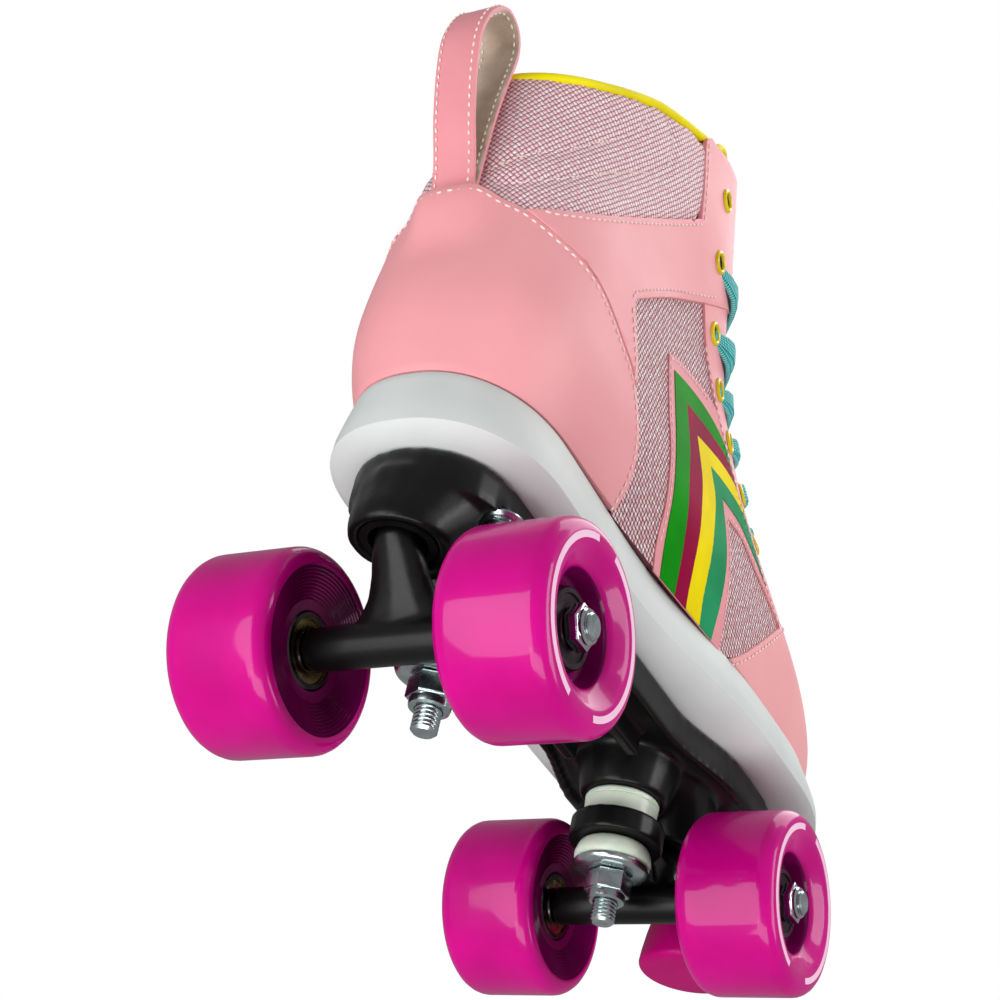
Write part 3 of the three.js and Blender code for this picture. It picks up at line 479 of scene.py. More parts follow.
# [z, heel end, toe end, half-width at the heel, half-width at the ball, length of the rounded heel]
LAST = (
    (100, -110, 166, 31, 37, 42),
    (112, -112, 164, 34.5, 38, 42),
    (125, -113, 153, 36.5, 38, 42),
    (140, -112.5, 131, 36.5, 36.5, 42),
    (155, -111.5, 104, 36, 35, 43),
    (172, -110.5, 79, 35.5, 34, 48),
    (190, -109.5, 62, 34.8, 34, 59),
    (210, -108, 52, 35, 36, 73),
    (235, -106, 44, 36, 38, 80),
    (260, -105, 38, 36, 39, 84),
    (286, -105, 34, 36, 39, 84),
)
CUP = (
    (78.3, -103, 158, 27, 34, 42),
    (79.5, -109, 165, 32.5, 41, 42),
    (82, -112, 169, 34.5, 43.5, 42),
    (86, -112, 169, 34.3, 43.2, 42),
    (100, -110.5, 165.5, 31.2, 37.4, 42),
)
WAIST = {LAST: 0.0, CUP: 4.0}  # how much narrower each side is at the waist
NOSE = 66.0  # length of the rounded toe
HEEL_POWER, TOE_POWER = 2.3, 2.05  # roundness of the two ends, 2 is an ellipse
COLLAR_TOP = [(-150, 218), (-108, 220), (-85, 232), (-61, 246), (-41, 255), (-19, 265), (0, 271), (80, 282)]
COLLAR_SEAM = [(-110, 170), (-104, 162.4), (-97, 167), (-83, 177), (-63, 194), (-38, 216), (-25, 228)]
HEEL_SEAM = [(-110, 165.6), (-104, 161.8), (-101, 159.6), (-95, 156.5), (-84, 154), (-74, 151), (-61, 146),
             (-49, 140), (-41, 128), (-37, 118), (-36, 108), (-36.5, 99)]
TOE_SEAM = [(31, 84), (41, 94), (54, 104), (67, 117), (83, 133), (100, 147), (112, 180)]
THROAT = [(14, 153), (22, 162), (28, 174), (30.2, 187), (31, 199), (32.2, 235), (33, 272)]  # half-width, z
EYELETS = [(-9, 251), (-6, 225), (3, 201), (15, 186), (30, 175), (48, 166), (67, 158)]
STRAP_LINE = [(-112.2, 161), (-113.2, 170), (-116.2, 178.5), (-121.5, 190), (-126.5, 205), (-128.5, 218),
              (-125.5, 230), (-118.5, 238), (-111, 236.5), (-107.8, 228.5), (-109.3, 214), (-110.6, 200),
              (-111.0, 186), (-110.9, 174), (-110.9, 161)]
SPREAD = 300.0  # millimetres of a flat pattern for a share of 1


@lru_cache(maxsize=100000)
def row_at(table, z):
    """Smooth value of every column of a table at height z."""
    i = 0
    while i < len(table) - 2 and z > table[i + 1][0]:
        i += 1
    before, start, end, after = (table[min(max(k, 0), len(table) - 1)] for k in (i - 1, i, i + 1, i + 2))
    span = end[0] - start[0]
    t = (z - start[0]) / span
    row = []
    for c in range(6):
        rise = span * (end[c] - before[c]) / (end[0] - before[0])
        fall = span * (after[c] - start[c]) / (after[0] - start[0])
        row.append((2 * t ** 3 - 3 * t ** 2 + 1) * start[c] + (t ** 3 - 2 * t ** 2 + t) * rise
                   + (3 * t ** 2 - 2 * t ** 3) * end[c] + (t ** 3 - t ** 2) * fall)
    return tuple(row)


def wrapped(s):
    return s - 2 if s > 1 else s + 2 if s < -1 else s


def smooth_share(value, low, high):
    t = min(max((value - low) / (high - low), 0.0), 1.0)
    return t * t * (3 - 2 * t)


def on_outline(table, s, z):
    """A point of one level: s is 0 at the back of the heel and 1 at the toe, negative on the left."""
    _, back, front, heel_half, ball_half, heel_round = row_at(table, round(z, 3))
    s = wrapped(s)
    share = abs(s)
    half = (front - back) / 2
    rear, nose = min(heel_round, half), min(NOSE, half)
    if share < 1 / 3:
        y = back + rear * (1 - max(math.cos(share * 1.5 * math.pi), 0.0) ** (2 / HEEL_POWER))
    elif share < 2 / 3:
        y = back + rear + (front - nose - back - rear) * (share * 3 - 1)
    else:
        y = front - nose * (1 - max(math.cos((1 - share) * 1.5 * math.pi), 0.0) ** (2 / TOE_POWER))
    width = heel_half + (ball_half - heel_half) * smooth_share(y, -60, 70)
    width -= WAIST[table] * math.exp(-(((y - 2) / 42) ** 2))
    heel_share = 1 - min(max((y - back) / rear, 0.0), 1.0)
    toe_share = 1 - min(max((front - y) / nose, 0.0), 1.0)
    narrow = (1 - heel_share ** HEEL_POWER) ** (1 / HEEL_POWER)
    narrow *= (1 - toe_share ** TOE_POWER) ** (1 / TOE_POWER)
    return Vector((math.copysign(width * narrow, s), y, z))


def normal_at(table, s, z):
    step = 0.01
    around = on_outline(table, s + step, z) - on_outline(table, s - step, z)
    up = on_outline(table, s, z + 1) - on_outline(table, s, z - 1)
    return around.cross(up).normalized()


def inside(table, s, z, depth):
    """The surface's point moved inwards along the normal, or outwards where depth is negative."""
    return on_outline(table, s, z) - normal_at(table, s, z) * depth


def share_at(y, z):
    """The share s of the right side's point at a given y and z."""
    low, high = 0.0, 1.0
    for _ in range(26):
        middle = (low + high) / 2
        if on_outline(LAST, middle, z).y < y:
            low = middle
        else:
            high = middle
    return (low + high) / 2


def share_at_width(x, z):
    """The share s in the front part of the right side where the boot is 2x wide."""
    low, high = 0.6, 1.0
    for _ in range(26):
        middle = (low + high) / 2
        if on_outline(LAST, middle, z).x > x:
            low = middle
        else:
            high = middle
    return (low + high) / 2


@lru_cache(maxsize=4000)
def lengths(z):
    """Distance along the boot's outline at height z, from the back of the heel, at even shares."""
    points = [on_outline(LAST, k / 90, z) for k in range(91)]
    total, run = [0.0], 0.0
    for a, b in zip(points, points[1:]):
        run += (b - a).length
        total.append(run)
    return total


def along(s, z):
    """Distance round the boot from the back of the heel to the share s, in millimetres."""
    table = lengths(round(z))
    k = min(abs(s), 1.0) * 90
    low = min(int(k), 89)
    value = table[low] + (table[low + 1] - table[low]) * (k - low)
    if abs(s) > 1:
        value = 2 * table[-1] - (table[89] + (table[90] - table[89]) * (2 - abs(s) - 89 / 90) * 90)
    return math.copysign(value, s)


def smooth_line(points, per_span=8):
    """Catmull-Rom curve through points of any number of values."""
    out = []
    count = len(points)
    for i in range(count - 1):
        before, start, end, after = (points[min(max(k, 0), count - 1)] for k in (i - 1, i, i + 1, i + 2))
        for step in range(per_span):
            t = step / per_span
            out.append(tuple(
                0.5 * (2 * b + (c - a) * t + (2 * a - 5 * b + 4 * c - d) * t * t
                       + (3 * b - a - 3 * c + d) * t ** 3)
                for a, b, c, d in zip(before, start, end, after)))
    out.append(tuple(float(v) for v in points[-1]))
    return out


def to_flat(side_points):
    """Flat pattern points of the right side for (y, z) points."""
    return [(share_at(y, z) * SPREAD, z) for y, z in side_points]


def height_of(line, y):
    for (y0, z0), (y1, z1) in zip(line, line[1:]):
        if y <= y1:
            return z0 + (z1 - z0) * (y - y0) / (y1 - y0)
    return line[-1][1]


def flip(flat):
    return [(-u, z) for u, z in reversed(flat)]


def over_toe(flat):
    """The mirror image of a flat line over the toe's middle line, in reverse order."""
    return [(2 * SPREAD - u, z) for u, z in reversed(flat)]


def is_inside(u, z, outline):
    hit = False
    for (u0, z0), (u1, z1) in zip(outline, outline[1:] + outline[:1]):
        if (z0 > z) != (z1 > z) and u < u0 + (u1 - u0) * (z - z0) / (z1 - z0):
            hit = not hit
    return hit


def pattern(outline, keep=None, step=3.0):
    """A flat grid cut to an outline, as a pattern of cloth or leather; keep is a second outline to stay in."""
    us, zs = zip(*outline)
    low = Vector((min(us), min(zs), 0))
    size = Vector((max(us), max(zs), 0)) - low
    bm = bmesh.new()
    place = Matrix.Translation(low + size / 2) @ Matrix.Diagonal((size.x / 2 + 0.01, size.y / 2 + 0.01, 1, 1))
    bmesh.ops.create_grid(bm, x_segments=max(3, round(size.x / step)), y_segments=max(3, round(size.y / step)),
                          size=1, matrix=place)
    reach = step * 0.2
    lines = [outline] + ([keep] if keep else [])
    for line in lines:
        for (u0, z0), (u1, z1) in zip(line, line[1:] + line[:1]):
            a, b = Vector((u0, z0, 0)), Vector((u1, z1, 0))
            if (b - a).length < 1e-4:
                continue
            near = set()
            for face in bm.faces:
                fu = [vert.co.x for vert in face.verts]
                fz = [vert.co.y for vert in face.verts]
                if (max(fu) > min(u0, u1) - reach and min(fu) < max(u0, u1) + reach
                        and max(fz) > min(z0, z1) - reach and min(fz) < max(z0, z1) + reach):
                    near.add(face)
            parts = list(near) + list({e for f in near for e in f.edges})
            parts += list({v for f in near for v in f.verts})
            across = Vector((-(b - a).y, (b - a).x, 0)).normalized()
            bmesh.ops.bisect_plane(bm, geom=parts, dist=1e-4, plane_co=a, plane_no=across)
    gone = []
    for face in bm.faces:
        middle = face.calc_center_median()
        if not all(is_inside(middle.x, middle.y, line) for line in lines):
            gone.append(face)
    bmesh.ops.delete(bm, geom=gone, context="FACES")
    bmesh.ops.remove_doubles(bm, verts=bm.verts, dist=0.15)
    bmesh.ops.delete(bm, geom=[edge for edge in bm.edges if edge.is_wire], context="EDGES")
    bmesh.ops.triangulate(bm, faces=[face for face in bm.faces if len(face.verts) > 4])
    return bm


def of_kind(items, kind):
    return [item for item in items if isinstance(item, kind)]


def dress(bm, outer, inner, bevel=0.0):
    """Lays a flat pattern on the boot and gives it a wall: outer and inner are depths, or functions of (u, z).

    The inner faces get the second material. The pattern keeps a UV map in metres that follows the boot."""
    layer = bm.loops.layers.uv.new("UVMap")
    for face in bm.faces:
        if face.normal.z < 0:
            face.normal_flip()
        for loop in face.loops:
            u, z = loop.vert.co.x, loop.vert.co.y
            loop[layer].uv = (along(u / SPREAD, z) * MM, z * MM)
    inner_faces = set(bm.faces)
    sheet = list(bm.verts) + list(bm.edges) + list(bm.faces)
    raised = bmesh.ops.extrude_face_region(bm, geom=sheet, use_keep_orig=True)["geom"]
    outer_faces = set(of_kind(raised, bmesh.types.BMFace))
    outer_verts = set(of_kind(raised, bmesh.types.BMVert))
    walls = set(bm.faces) - inner_faces - outer_faces
    for wall in walls:
        for loop in wall.loops:
            loop[layer].uv = (0, 0)  # a cut edge shows one tone of the yarn, not stretched threads
    rim = [edge for edge in {e for wall in walls for e in wall.edges} if outer_verts.issuperset(edge.verts)]
    bmesh.ops.reverse_faces(bm, faces=list(inner_faces))
    for face in inner_faces:
        face.material_index = 1
    for vert in bm.verts:
        u, z = vert.co.x, vert.co.y
        depth = outer if vert in outer_verts else inner
        vert.co = inside(LAST, u / SPREAD, z, depth(u, z) if callable(depth) else depth)
    bm.normal_update()
    bmesh.ops.recalc_face_normals(bm, faces=bm.faces)
    if bevel:
        round_edges(bm, rim, bevel, 2)
    return bm


def surface_path(flat, depth, offset=0.0, step=0.8):
    """Points and normals of a line on the boot, moved sideways along the surface by an offset."""
    points = []
    for u, z in flat:
        sunk = depth(u, z) if callable(depth) else depth
        points.append((inside(LAST, u / SPREAD, z, sunk), normal_at(LAST, u / SPREAD, z)))
    dense = []
    for (p, n), (q, m) in zip(points, points[1:]):
        count = max(1, round((q - p).length / step))
        dense += [(p.lerp(q, k / count), n.lerp(m, k / count).normalized()) for k in range(count)]
    dense.append(points[-1])
    out = []
    for k, (p, n) in enumerate(dense):
        ahead = dense[min(k + 1, len(dense) - 1)][0] - dense[max(k - 1, 0)][0]
        sideways = n.cross(ahead).normalized()
        out.append((p + sideways * offset, n))
    return out


def stitch(bm, path, pitch=3.1, length=2.2, radius=0.38, sink=0.1):
    """Adds a row of stitches along a path of points and normals."""
    run, due = 0.0, pitch / 2
    for (p, n), (q, _) in zip(path, path[1:]):
        gap = (q - p).length
        if gap < 1e-6:
            continue
        tangent = (q - p) / gap
        while run + gap >= due:
            middle = p + tangent * (due - run) + n * (radius - sink) * 0.6
            side = n.cross(tangent).normalized()
            turn = Matrix((tangent, side, tangent.cross(side))).transposed().to_4x4()
            scale = Matrix.Diagonal((length / 2, radius, radius * 0.8, 1))
            bmesh.ops.create_uvsphere(bm, u_segments=6, v_segments=4, radius=1,
                                      matrix=Matrix.Translation(middle) @ turn @ scale)
            due += pitch
        run += gap


def band(route, normals, width, thickness, rounding=3, shares=None):
    """A flat band with rounded edges along a route, with a UV map along and across it. Its shares narrow it."""
    bm = bmesh.new()
    layer = bm.loops.layers.uv.new("UVMap")
    section = []
    for k in range(rounding + 1):
        a = math.pi * k / rounding - math.pi / 2
        section.append((width / 2 - thickness / 2 + math.cos(a) * thickness / 2, math.sin(a) * thickness / 2))
    section += [(-w, -h) for w, h in section]
    ring = [bm.verts.new() for _ in section]
    edges = [bm.edges.new(pair) for pair in zip(ring, ring[1:] + ring[:1])]
    run, place = 0.0, {}
    for k, (point, normal) in enumerate(zip(route, normals)):
        if k:
            made = bmesh.ops.extrude_edge_only(bm, edges=edges)["geom"]
            fresh = set(of_kind(made, bmesh.types.BMVert))
            edges = [edge for edge in of_kind(made, bmesh.types.BMEdge) if fresh.issuperset(edge.verts)]
            ring = [next(e.other_vert(vert) for e in vert.link_edges if e.other_vert(vert) in fresh)
                    for vert in ring]
            run += (point - route[k - 1]).length
        ahead = (route[min(k + 1, len(route) - 1)] - route[max(k - 1, 0)]).normalized()
        side = normal.cross(ahead).normalized()
        out = ahead.cross(side).normalized()
        share = shares[k] if shares else 1.0
        for column, (vert, (w, h)) in enumerate(zip(ring, section)):
            vert.co = point + side * w * share + out * h
            place[vert] = (run, column)
    for face in bm.faces:
        for loop in face.loops:
            along_it, column = place[loop.vert]
            loop[layer].uv = (along_it * MM, section[column][0] * MM)
        height = sum(section[column][1] for column in {place[vert][1] for vert in face.verts})
        face.material_index = 0 if height > 0 else 1
    ends = [edge for edge in bm.edges if edge.is_boundary]
    for cap in bmesh.ops.holes_fill(bm, edges=ends, sides=len(section))["faces"]:
        cap.material_index = 0
    bmesh.ops.recalc_face_normals(bm, faces=bm.faces)
    return bm


# ---- Moulded pieces that keep the frame's shape, with their edges softened -----------------------

def softened(name, node, body, material, voxel_mm, rounds):
    """A copy of a CAD node, remeshed and smoothed so that it looks moulded."""
    bm = bmesh.new()
    bm.from_mesh(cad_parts[node].data)
    bmesh.ops.remove_doubles(bm, verts=bm.verts, dist=1e-6)
    mesh = bpy.data.meshes.new(name)
    bm.to_mesh(mesh)
    bm.free()
    rough = new_object(name + "_rough", mesh)
    remesh = rough.modifiers.new("remesh", "REMESH")
    remesh.mode = "VOXEL"
    remesh.voxel_size = voxel_mm * MM
    smooth = rough.modifiers.new("smooth", "SMOOTH")
    smooth.factor, smooth.iterations = 0.5, rounds
    made = bpy.data.meshes.new_from_object(rough.evaluated_get(bpy.context.evaluated_depsgraph_get()))
    bpy.data.objects.remove(rough)
    made.materials.clear()
    made.materials.append(material)
    made.polygons.foreach_set("use_smooth", [True] * len(made.polygons))
    obj = new_object(name, made)
    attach(obj, body)
    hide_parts(node)
    return obj


# ---- Wheels, bearings and axles ------------------------------------------------------------------

HALF_BASE, HALF_TRACK, AXLE_HEIGHT = 82, 41.5, 29
KINGPIN_Y = 61
TREAD, WHEEL_FACE = 29, 16.5  # a wheel's radius, and how far its faces lie from its middle
WELL_SHADE_RADIUS, INNER_FACE_SHADE_RADIUS = 15.5, 24  # radii inside which a wheel's two faces get the darker magenta, painted shade in the hub's well and on the inner face
PRINT_RADIUS, PRINT_WIDTH = 22.9, 1.9


def wheel_profile():
    """Closed outline of a wheel's section as (radius, distance outwards)."""
    grooves = []
    for k in range(10):
        share = k / 10
        radius, depth = 14.2 + 9.6 * share, -13.15 - 3.1 * share
        grooves += [(radius, depth), (radius + 0.25, depth + 0.5), (radius + 0.6, depth + 0.4)]
    shoulder = [(24.6, WHEEL_FACE), (25.7, 16.35), (26.8, 15.85), (27.8, 14.95), (28.5, 13.8), (28.9, 12.6),
                (TREAD, 11.4)]
    bowl = [(22.4, WHEEL_FACE), (21.4, 16.3), (20.2, 15.7), (18.6, 14.7), (17.2, 13.9), (16.3, 13.3),
            (15.7, 12.5), (15.3, 11.2), (15.0, 7.6), (14.6, 6.6), (13.7, 6.1), (12.5, 6.1), (11.9, 6.6),
            (11.7, 7.6), (11.3, 8)]
    bore = [(11.3, 2.7), (9.5, 2.7), (9.5, -5.7), (11.3, -5.7), (11.3, -12.9)]
    inner = [(13.4, -13)] + grooves + [(24, -16.45)]
    tread = [(radius, -depth) for radius, depth in shoulder] + [(TREAD, -4), (TREAD, 4)] + shoulder[::-1]
    return closed(inner + tread + bowl + bore)


def bearing_profile(start):
    """A bearing's section: rings at the rims and recessed shields between them."""
    face = [(4, 0.25), (4.3, 0), (5.7, 0), (5.9, 0.5), (6.3, 0.45), (7.4, 0.3), (8.6, 0.45), (9.1, 0.5),
            (9.3, 0), (10.6, 0), (11, 0.4)]
    back = [(radius, 7 - depth) for radius, depth in reversed(face)]
    return closed([(radius, start + depth) for radius, depth in face + back])


def bearing(start, axis, centre):
    bm = lathe(bearing_profile(start), 56, axis, centre)
    for face in bm.faces:
        offset = face.calc_center_median() - Vector(centre)
        if 5.8 < math.hypot(offset.y, offset.z) < 9.2:
            face.material_index = 1
    return bm


def printed_arc(start, turn, axis, centre):
    """A thin printed arc on a wheel's outer face, its start and turn in degrees."""
    bm = bmesh.new()
    reach = (PRINT_RADIUS, PRINT_RADIUS + PRINT_WIDTH)
    low = [bm.verts.new((radius, 0, WHEEL_FACE)) for radius in reach]
    high = [bm.verts.new((radius, 0, WHEEL_FACE + 0.06)) for radius in reversed(reach)]
    ring = low + high
    edges = [bm.edges.new(pair) for pair in zip(ring, ring[1:] + ring[:1])]
    bmesh.ops.spin(bm, geom=ring + edges, cent=(0, 0, 0), axis=(0, 0, 1), angle=math.radians(turn), steps=44)
    bmesh.ops.holes_fill(bm, edges=bm.edges, sides=4)
    place = Matrix.Translation(centre) @ TURNS[axis] @ Matrix.Rotation(math.radians(start), 4, "Z")
    bmesh.ops.transform(bm, matrix=place, verts=bm.verts)
    return bm


AXLE_NUT_COLLAR = closed([(3.8, 14.1), (5.0, 14.1), (5.0, 15.0), (4.6, 15.5), (3.8, 15.6)])


def make_wheel(end, side):
    key, body = f"{end}_{side}", f"{end}_{side}_wheel"
    axis = "X" if side == "right" else "-X"
    centre = (SIDES[side] * HALF_TRACK, ENDS[end] * HALF_BASE, AXLE_HEIGHT)
    wheel = lathe(wheel_profile(), 112, axis, centre)
    for face in wheel.faces:
        offset = face.calc_center_median() - Vector(centre)
        # The hub's well and the inner face's grooved ring take the darker magenta as painted shade.
        radius, outwards = math.hypot(offset.y, offset.z), offset.x * SIDES[side]
        if radius < WELL_SHADE_RADIUS and outwards > 0 or radius < INNER_FACE_SHADE_RADIUS and outwards < -12:
            face.material_index = 1
    piece(f"cast_wheel_{key}", wheel, body, [MAGENTA, SHADE_MAGENTA], [f"wheel_{key}"],
          sharp=50)
    print_mesh = printed_arc(20, 150, axis, centre)
    merge(print_mesh, printed_arc(195, 150, axis, centre))
    piece(f"wheel_print_{key}", print_mesh, body, [PRINT_WHITE], recalc=True)
    # The outer seals and all the rings carry painted shade from the hub.
    for place, start, shield in (("inner", -13, BRONZE), ("outer", 3, SHADED_SEAL)):
        piece(f"{place}_ball_bearing_{key}", bearing(start, axis, centre), body, [SHADED_RING_STEEL, shield],
              [f"{place}_bearing_{key}"])
    nut = merge(hexagon(11.2, 10.3, 14.3, 0.7, axis, centre), lathe(AXLE_NUT_COLLAR, 32, axis, centre))
    piece(f"lock_nut_{key}", nut, f"{end}_truck", [CHROME], [f"axle_nut_{key}"])


CUP_WASHER = closed([(4.2, 29.9), (9.4, 29.9), (10.8, 30.2), (11.9, 30.9), (12.3, 31.7), (12.3, 32.2),
                     (4.2, 32.2)])
NUT_COLLAR = closed([(4.2, 20), (5.2, 20), (5.9, 20.5), (6.1, 21.4), (6.1, 22.6), (4.2, 22.6)])
CUSHIONS = {  # section, and the height that stays where it is
    "lower": (closed([(5.2, 32.5), (10.6, 32.5), (11.7, 32.9), (12.4, 33.9), (12.5, 35.2), (12.1, 36.8),
                      (11.6, 38.2), (11.0, 39.0), (10.4, 39.2), (5.2, 39.2)]), 32.5),
    "upper": (closed([(5.2, 47.8), (11.0, 47.8), (11.7, 48.2), (11.9, 49.2), (12.0, 53.2), (12.1, 53.4),
                      (11.75, 53.7), (12.1, 54.0), (12.2, 55.0), (11.8, 55.7), (5.2, 55.7)]), 55.7),
}
AXLE_RADIUS, AXLE_END = 3.7, 58.2
KINGPIN_RADIUS, KINGPIN_TOP = 3.9, 72


def make_truck(end):
    sign = ENDS[end]
    body = f"{end}_truck"
    softened(f"cast_hanger_{end}", f"hanger_{end}", body, NYLON, 0.75, 14)
    tip = [(radius, AXLE_END - height) for radius, height in threaded(AXLE_RADIUS, 0, 7, 1.0, 0.35, 0.5)]
    rod = tip + [(AXLE_RADIUS, 7 - AXLE_END)] + [(radius, -height) for radius, height in reversed(tip)]
    axle = lathe(rod, 28, "X", (0, sign * HALF_BASE, AXLE_HEIGHT))
    piece(f"threaded_axle_{end}", axle, body, [ZINC], [f"axle_{end}"])
    pin = (0, sign * KINGPIN_Y, 0)
    shank = threaded(KINGPIN_RADIUS, 13, 30, 1.25, 0.5) + [(KINGPIN_RADIUS, KINGPIN_TOP), (0, KINGPIN_TOP)]
    piece(f"threaded_kingpin_{end}", lathe(shank, 36, "Z", pin), BOOT, [ZINC], [f"kingpin_{end}"])
    nut = merge(hexagon(13, 22.6, 29.6, 0.9, "Z", pin), lathe(NUT_COLLAR, 40, "Z", pin))
    piece(f"nylon_lock_nut_{end}", nut, BOOT, [ZINC], [f"kingpin_nut_{end}"])
    piece(f"cup_washer_{end}", lathe(CUP_WASHER, 64, "Z", pin), BOOT, [ZINC], [f"cushion_retainer_{end}"])
    for level, (section, fixed) in CUSHIONS.items():
        made = piece(f"{level}_urethane_{end}", lathe(section, 64, "Z", pin), BOOT, [CUSHION],
                     [f"{level}_cushion_{end}"])
        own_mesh(made)


# ---- Plate, bolts and toe stop -------------------------------------------------------------------

BOLTS = {"rear_left": (-20, -77), "rear_right": (20, -77), "front_left": (-20, 106), "front_right": (20, 106)}
BOLT_DOME = closed([(3.1, 67.8), (4.6, 67.9), (5.9, 68.5), (6.6, 69.3), (6.6, 69.7), (3.1, 69.7)])
STOP_Y = 131
STEM_RADIUS, STEM_ROOT, STEM_TOP = 6.8, 6.2, 69.3
THREAD_START, THREAD_END, THREAD_PITCH = 53, 66.4, 1.5


def make_plate():
    softened("moulded_plate", "plate", BOOT, NYLON, 1.0, 14)
    for name, (x, y) in BOLTS.items():
        nut = merge(hexagon(8.5, 64.6, 67.8, 0.5, "Z", (x, y, 0)), lathe(BOLT_DOME, 40, "Z", (x, y, 0)))
        piece(f"domed_nut_{name}", nut, BOOT, [ZINC], [f"plate_nut_{name}"])


def make_toe_stop():
    centre = (0, STOP_Y, 0)
    pad = [(0, 25.5), (14.6, 25.5)] + arc((15.3, 27.9), 2.3, -80, 0, 6) + [(17.3, 31)]
    pad += [(16.4, 37), (15.2, 43), (13.9, 49), (13.3, 51.6), (12.6, 52.7), (11.6, 53), (7.1, 53), (7.1, 40),
            (0, 40)]
    piece("rubber_stop", lathe(pad, 96, "Z", centre), "toe_stop", [STOP_RUBBER], ["toe_stop_pad"])
    stem = [(0, 40.3), (STEM_RADIUS, 40.3), (STEM_RADIUS, THREAD_START)]
    z = THREAD_START
    while z < THREAD_END:
        stem += [(STEM_RADIUS, z + 0.2), (STEM_ROOT, z + 0.75), (STEM_RADIUS, z + 1.3)]
        z += THREAD_PITCH
    stem += [(4.6, STEM_TOP), (0, STEM_TOP)]
    piece("stop_screw", lathe(stem, 44, "Z", centre), "toe_stop", [ZINC], ["toe_stop_stem"])
    nut = hexagon(24, 56.5, 61.7, 1.0, "Z", centre)
    piece("stop_lock_nut", nut, BOOT, [ZINC], ["toe_stop_nut"])


# ---- Sole and insole -----------------------------------------------------------------------------

def ring_stack(table, levels, sides=180):
    """A skin of rings: each level is (z, depth). Both ends are closed."""
    bm = bmesh.new()
    rings = []
    for z, depth in levels:
        ring = bmesh.ops.create_circle(bm, segments=sides, radius=1)["verts"]
        for k, vert in enumerate(ring):
            point = inside(table, -1 + 2 * (k + 0.5) / sides, z, depth)
            vert.co = (point.x, point.y, z)
        rings.append(ring)
    for low, high in zip(rings, rings[1:]):
        loops = [bm.edges.get((a, b)) for ring in (low, high) for a, b in zip(ring, ring[1:] + ring[:1])]
        bmesh.ops.bridge_loops(bm, edges=loops)
    bmesh.ops.holes_fill(bm, edges=[edge for edge in bm.edges if edge.is_boundary], sides=sides)
    bmesh.ops.triangulate(bm, faces=[face for face in bm.faces if len(face.verts) > 4])
    bmesh.ops.recalc_face_normals(bm, faces=bm.faces)
    return bm


def make_sole():
    wall = [(78.3, 0.5), (78.6, 0.1), (79.5, 0), (82, 0), (86, 0), (90, 0), (94, 0), (97, 0), (99, 0),
            (99.7, 0.3), (100, 0.9), (100, 2.6), (99.6, 3.4), (99, 4.5), (86, 4.5)]
    piece("cup_outsole", ring_stack(CUP, wall), BOOT, [RUBBER], ["cup_sole"], sharp=40)
    pad = [(86.3, 5.4), (86.6, 4.9), (89.6, 4.9), (90.2, 5.6), (90.3, 6.6)]
    piece("moulded_insole", ring_stack(CUP, pad, 140), BOOT, [LINING], ["insole"], sharp=60)


# ---- Boot upper ----------------------------------------------------------------------------------

WINDOW = [(85, 134.5), (72, 141), (60, 149), (50, 156), (41, 161), (33, 166), (25, 171), (16, 177), (7, 184),
          (-2, 193), (-9, 204), (-18, 197.5), (-34, 185.5), (-52, 169.5), (-56, 165.5), (-56.5, 162),
          (-52.5, 154), (-49, 146), (-47.3, 138)]


def throat_edge():
    """The right quarter's edge beside the tongue, from the toe up, on the flat pattern."""
    return [(share_at_width(x, z) * SPREAD, z) for x, z in smooth_line(THROAT, 5)]


def collar_edge():
    """The right quarter's edge along the collar, from the throat's top back to the heel."""
    top = [(y, height_of(COLLAR_TOP, y)) for y in (0, -8, -16, -24, -31.5)]
    return to_flat(top + [(-31.3, 255), (-27.5, 240)] + smooth_line(COLLAR_SEAM[1:], 5)[::-1])


def heel_seam_flat():
    return to_flat(smooth_line(HEEL_SEAM[1:], 5))


def quarter_flat():
    """The right quarter on the flat pattern, from the heel seam's foot round by the toe."""
    toe = to_flat([(46, 99)] + [p for p in smooth_line(TOE_SEAM[1:6], 5) if p[1] > 99.5] + [(101.8, 152)])
    return toe + throat_edge() + collar_edge() + heel_seam_flat()


def facing_flat():
    """The eyestay, ankle band and heel strip of the right side, in one piece of leather."""
    heel = [(u, z) for u, z in heel_seam_flat() if z > 139]
    window = to_flat(smooth_line(WINDOW[:11], 4)[:-1] + smooth_line(WINDOW[10:], 4))[::-1]
    toe = to_flat(smooth_line(TOE_SEAM[4:6], 4) + [(101.8, 152)])
    return toe + throat_edge() + collar_edge() + heel + window


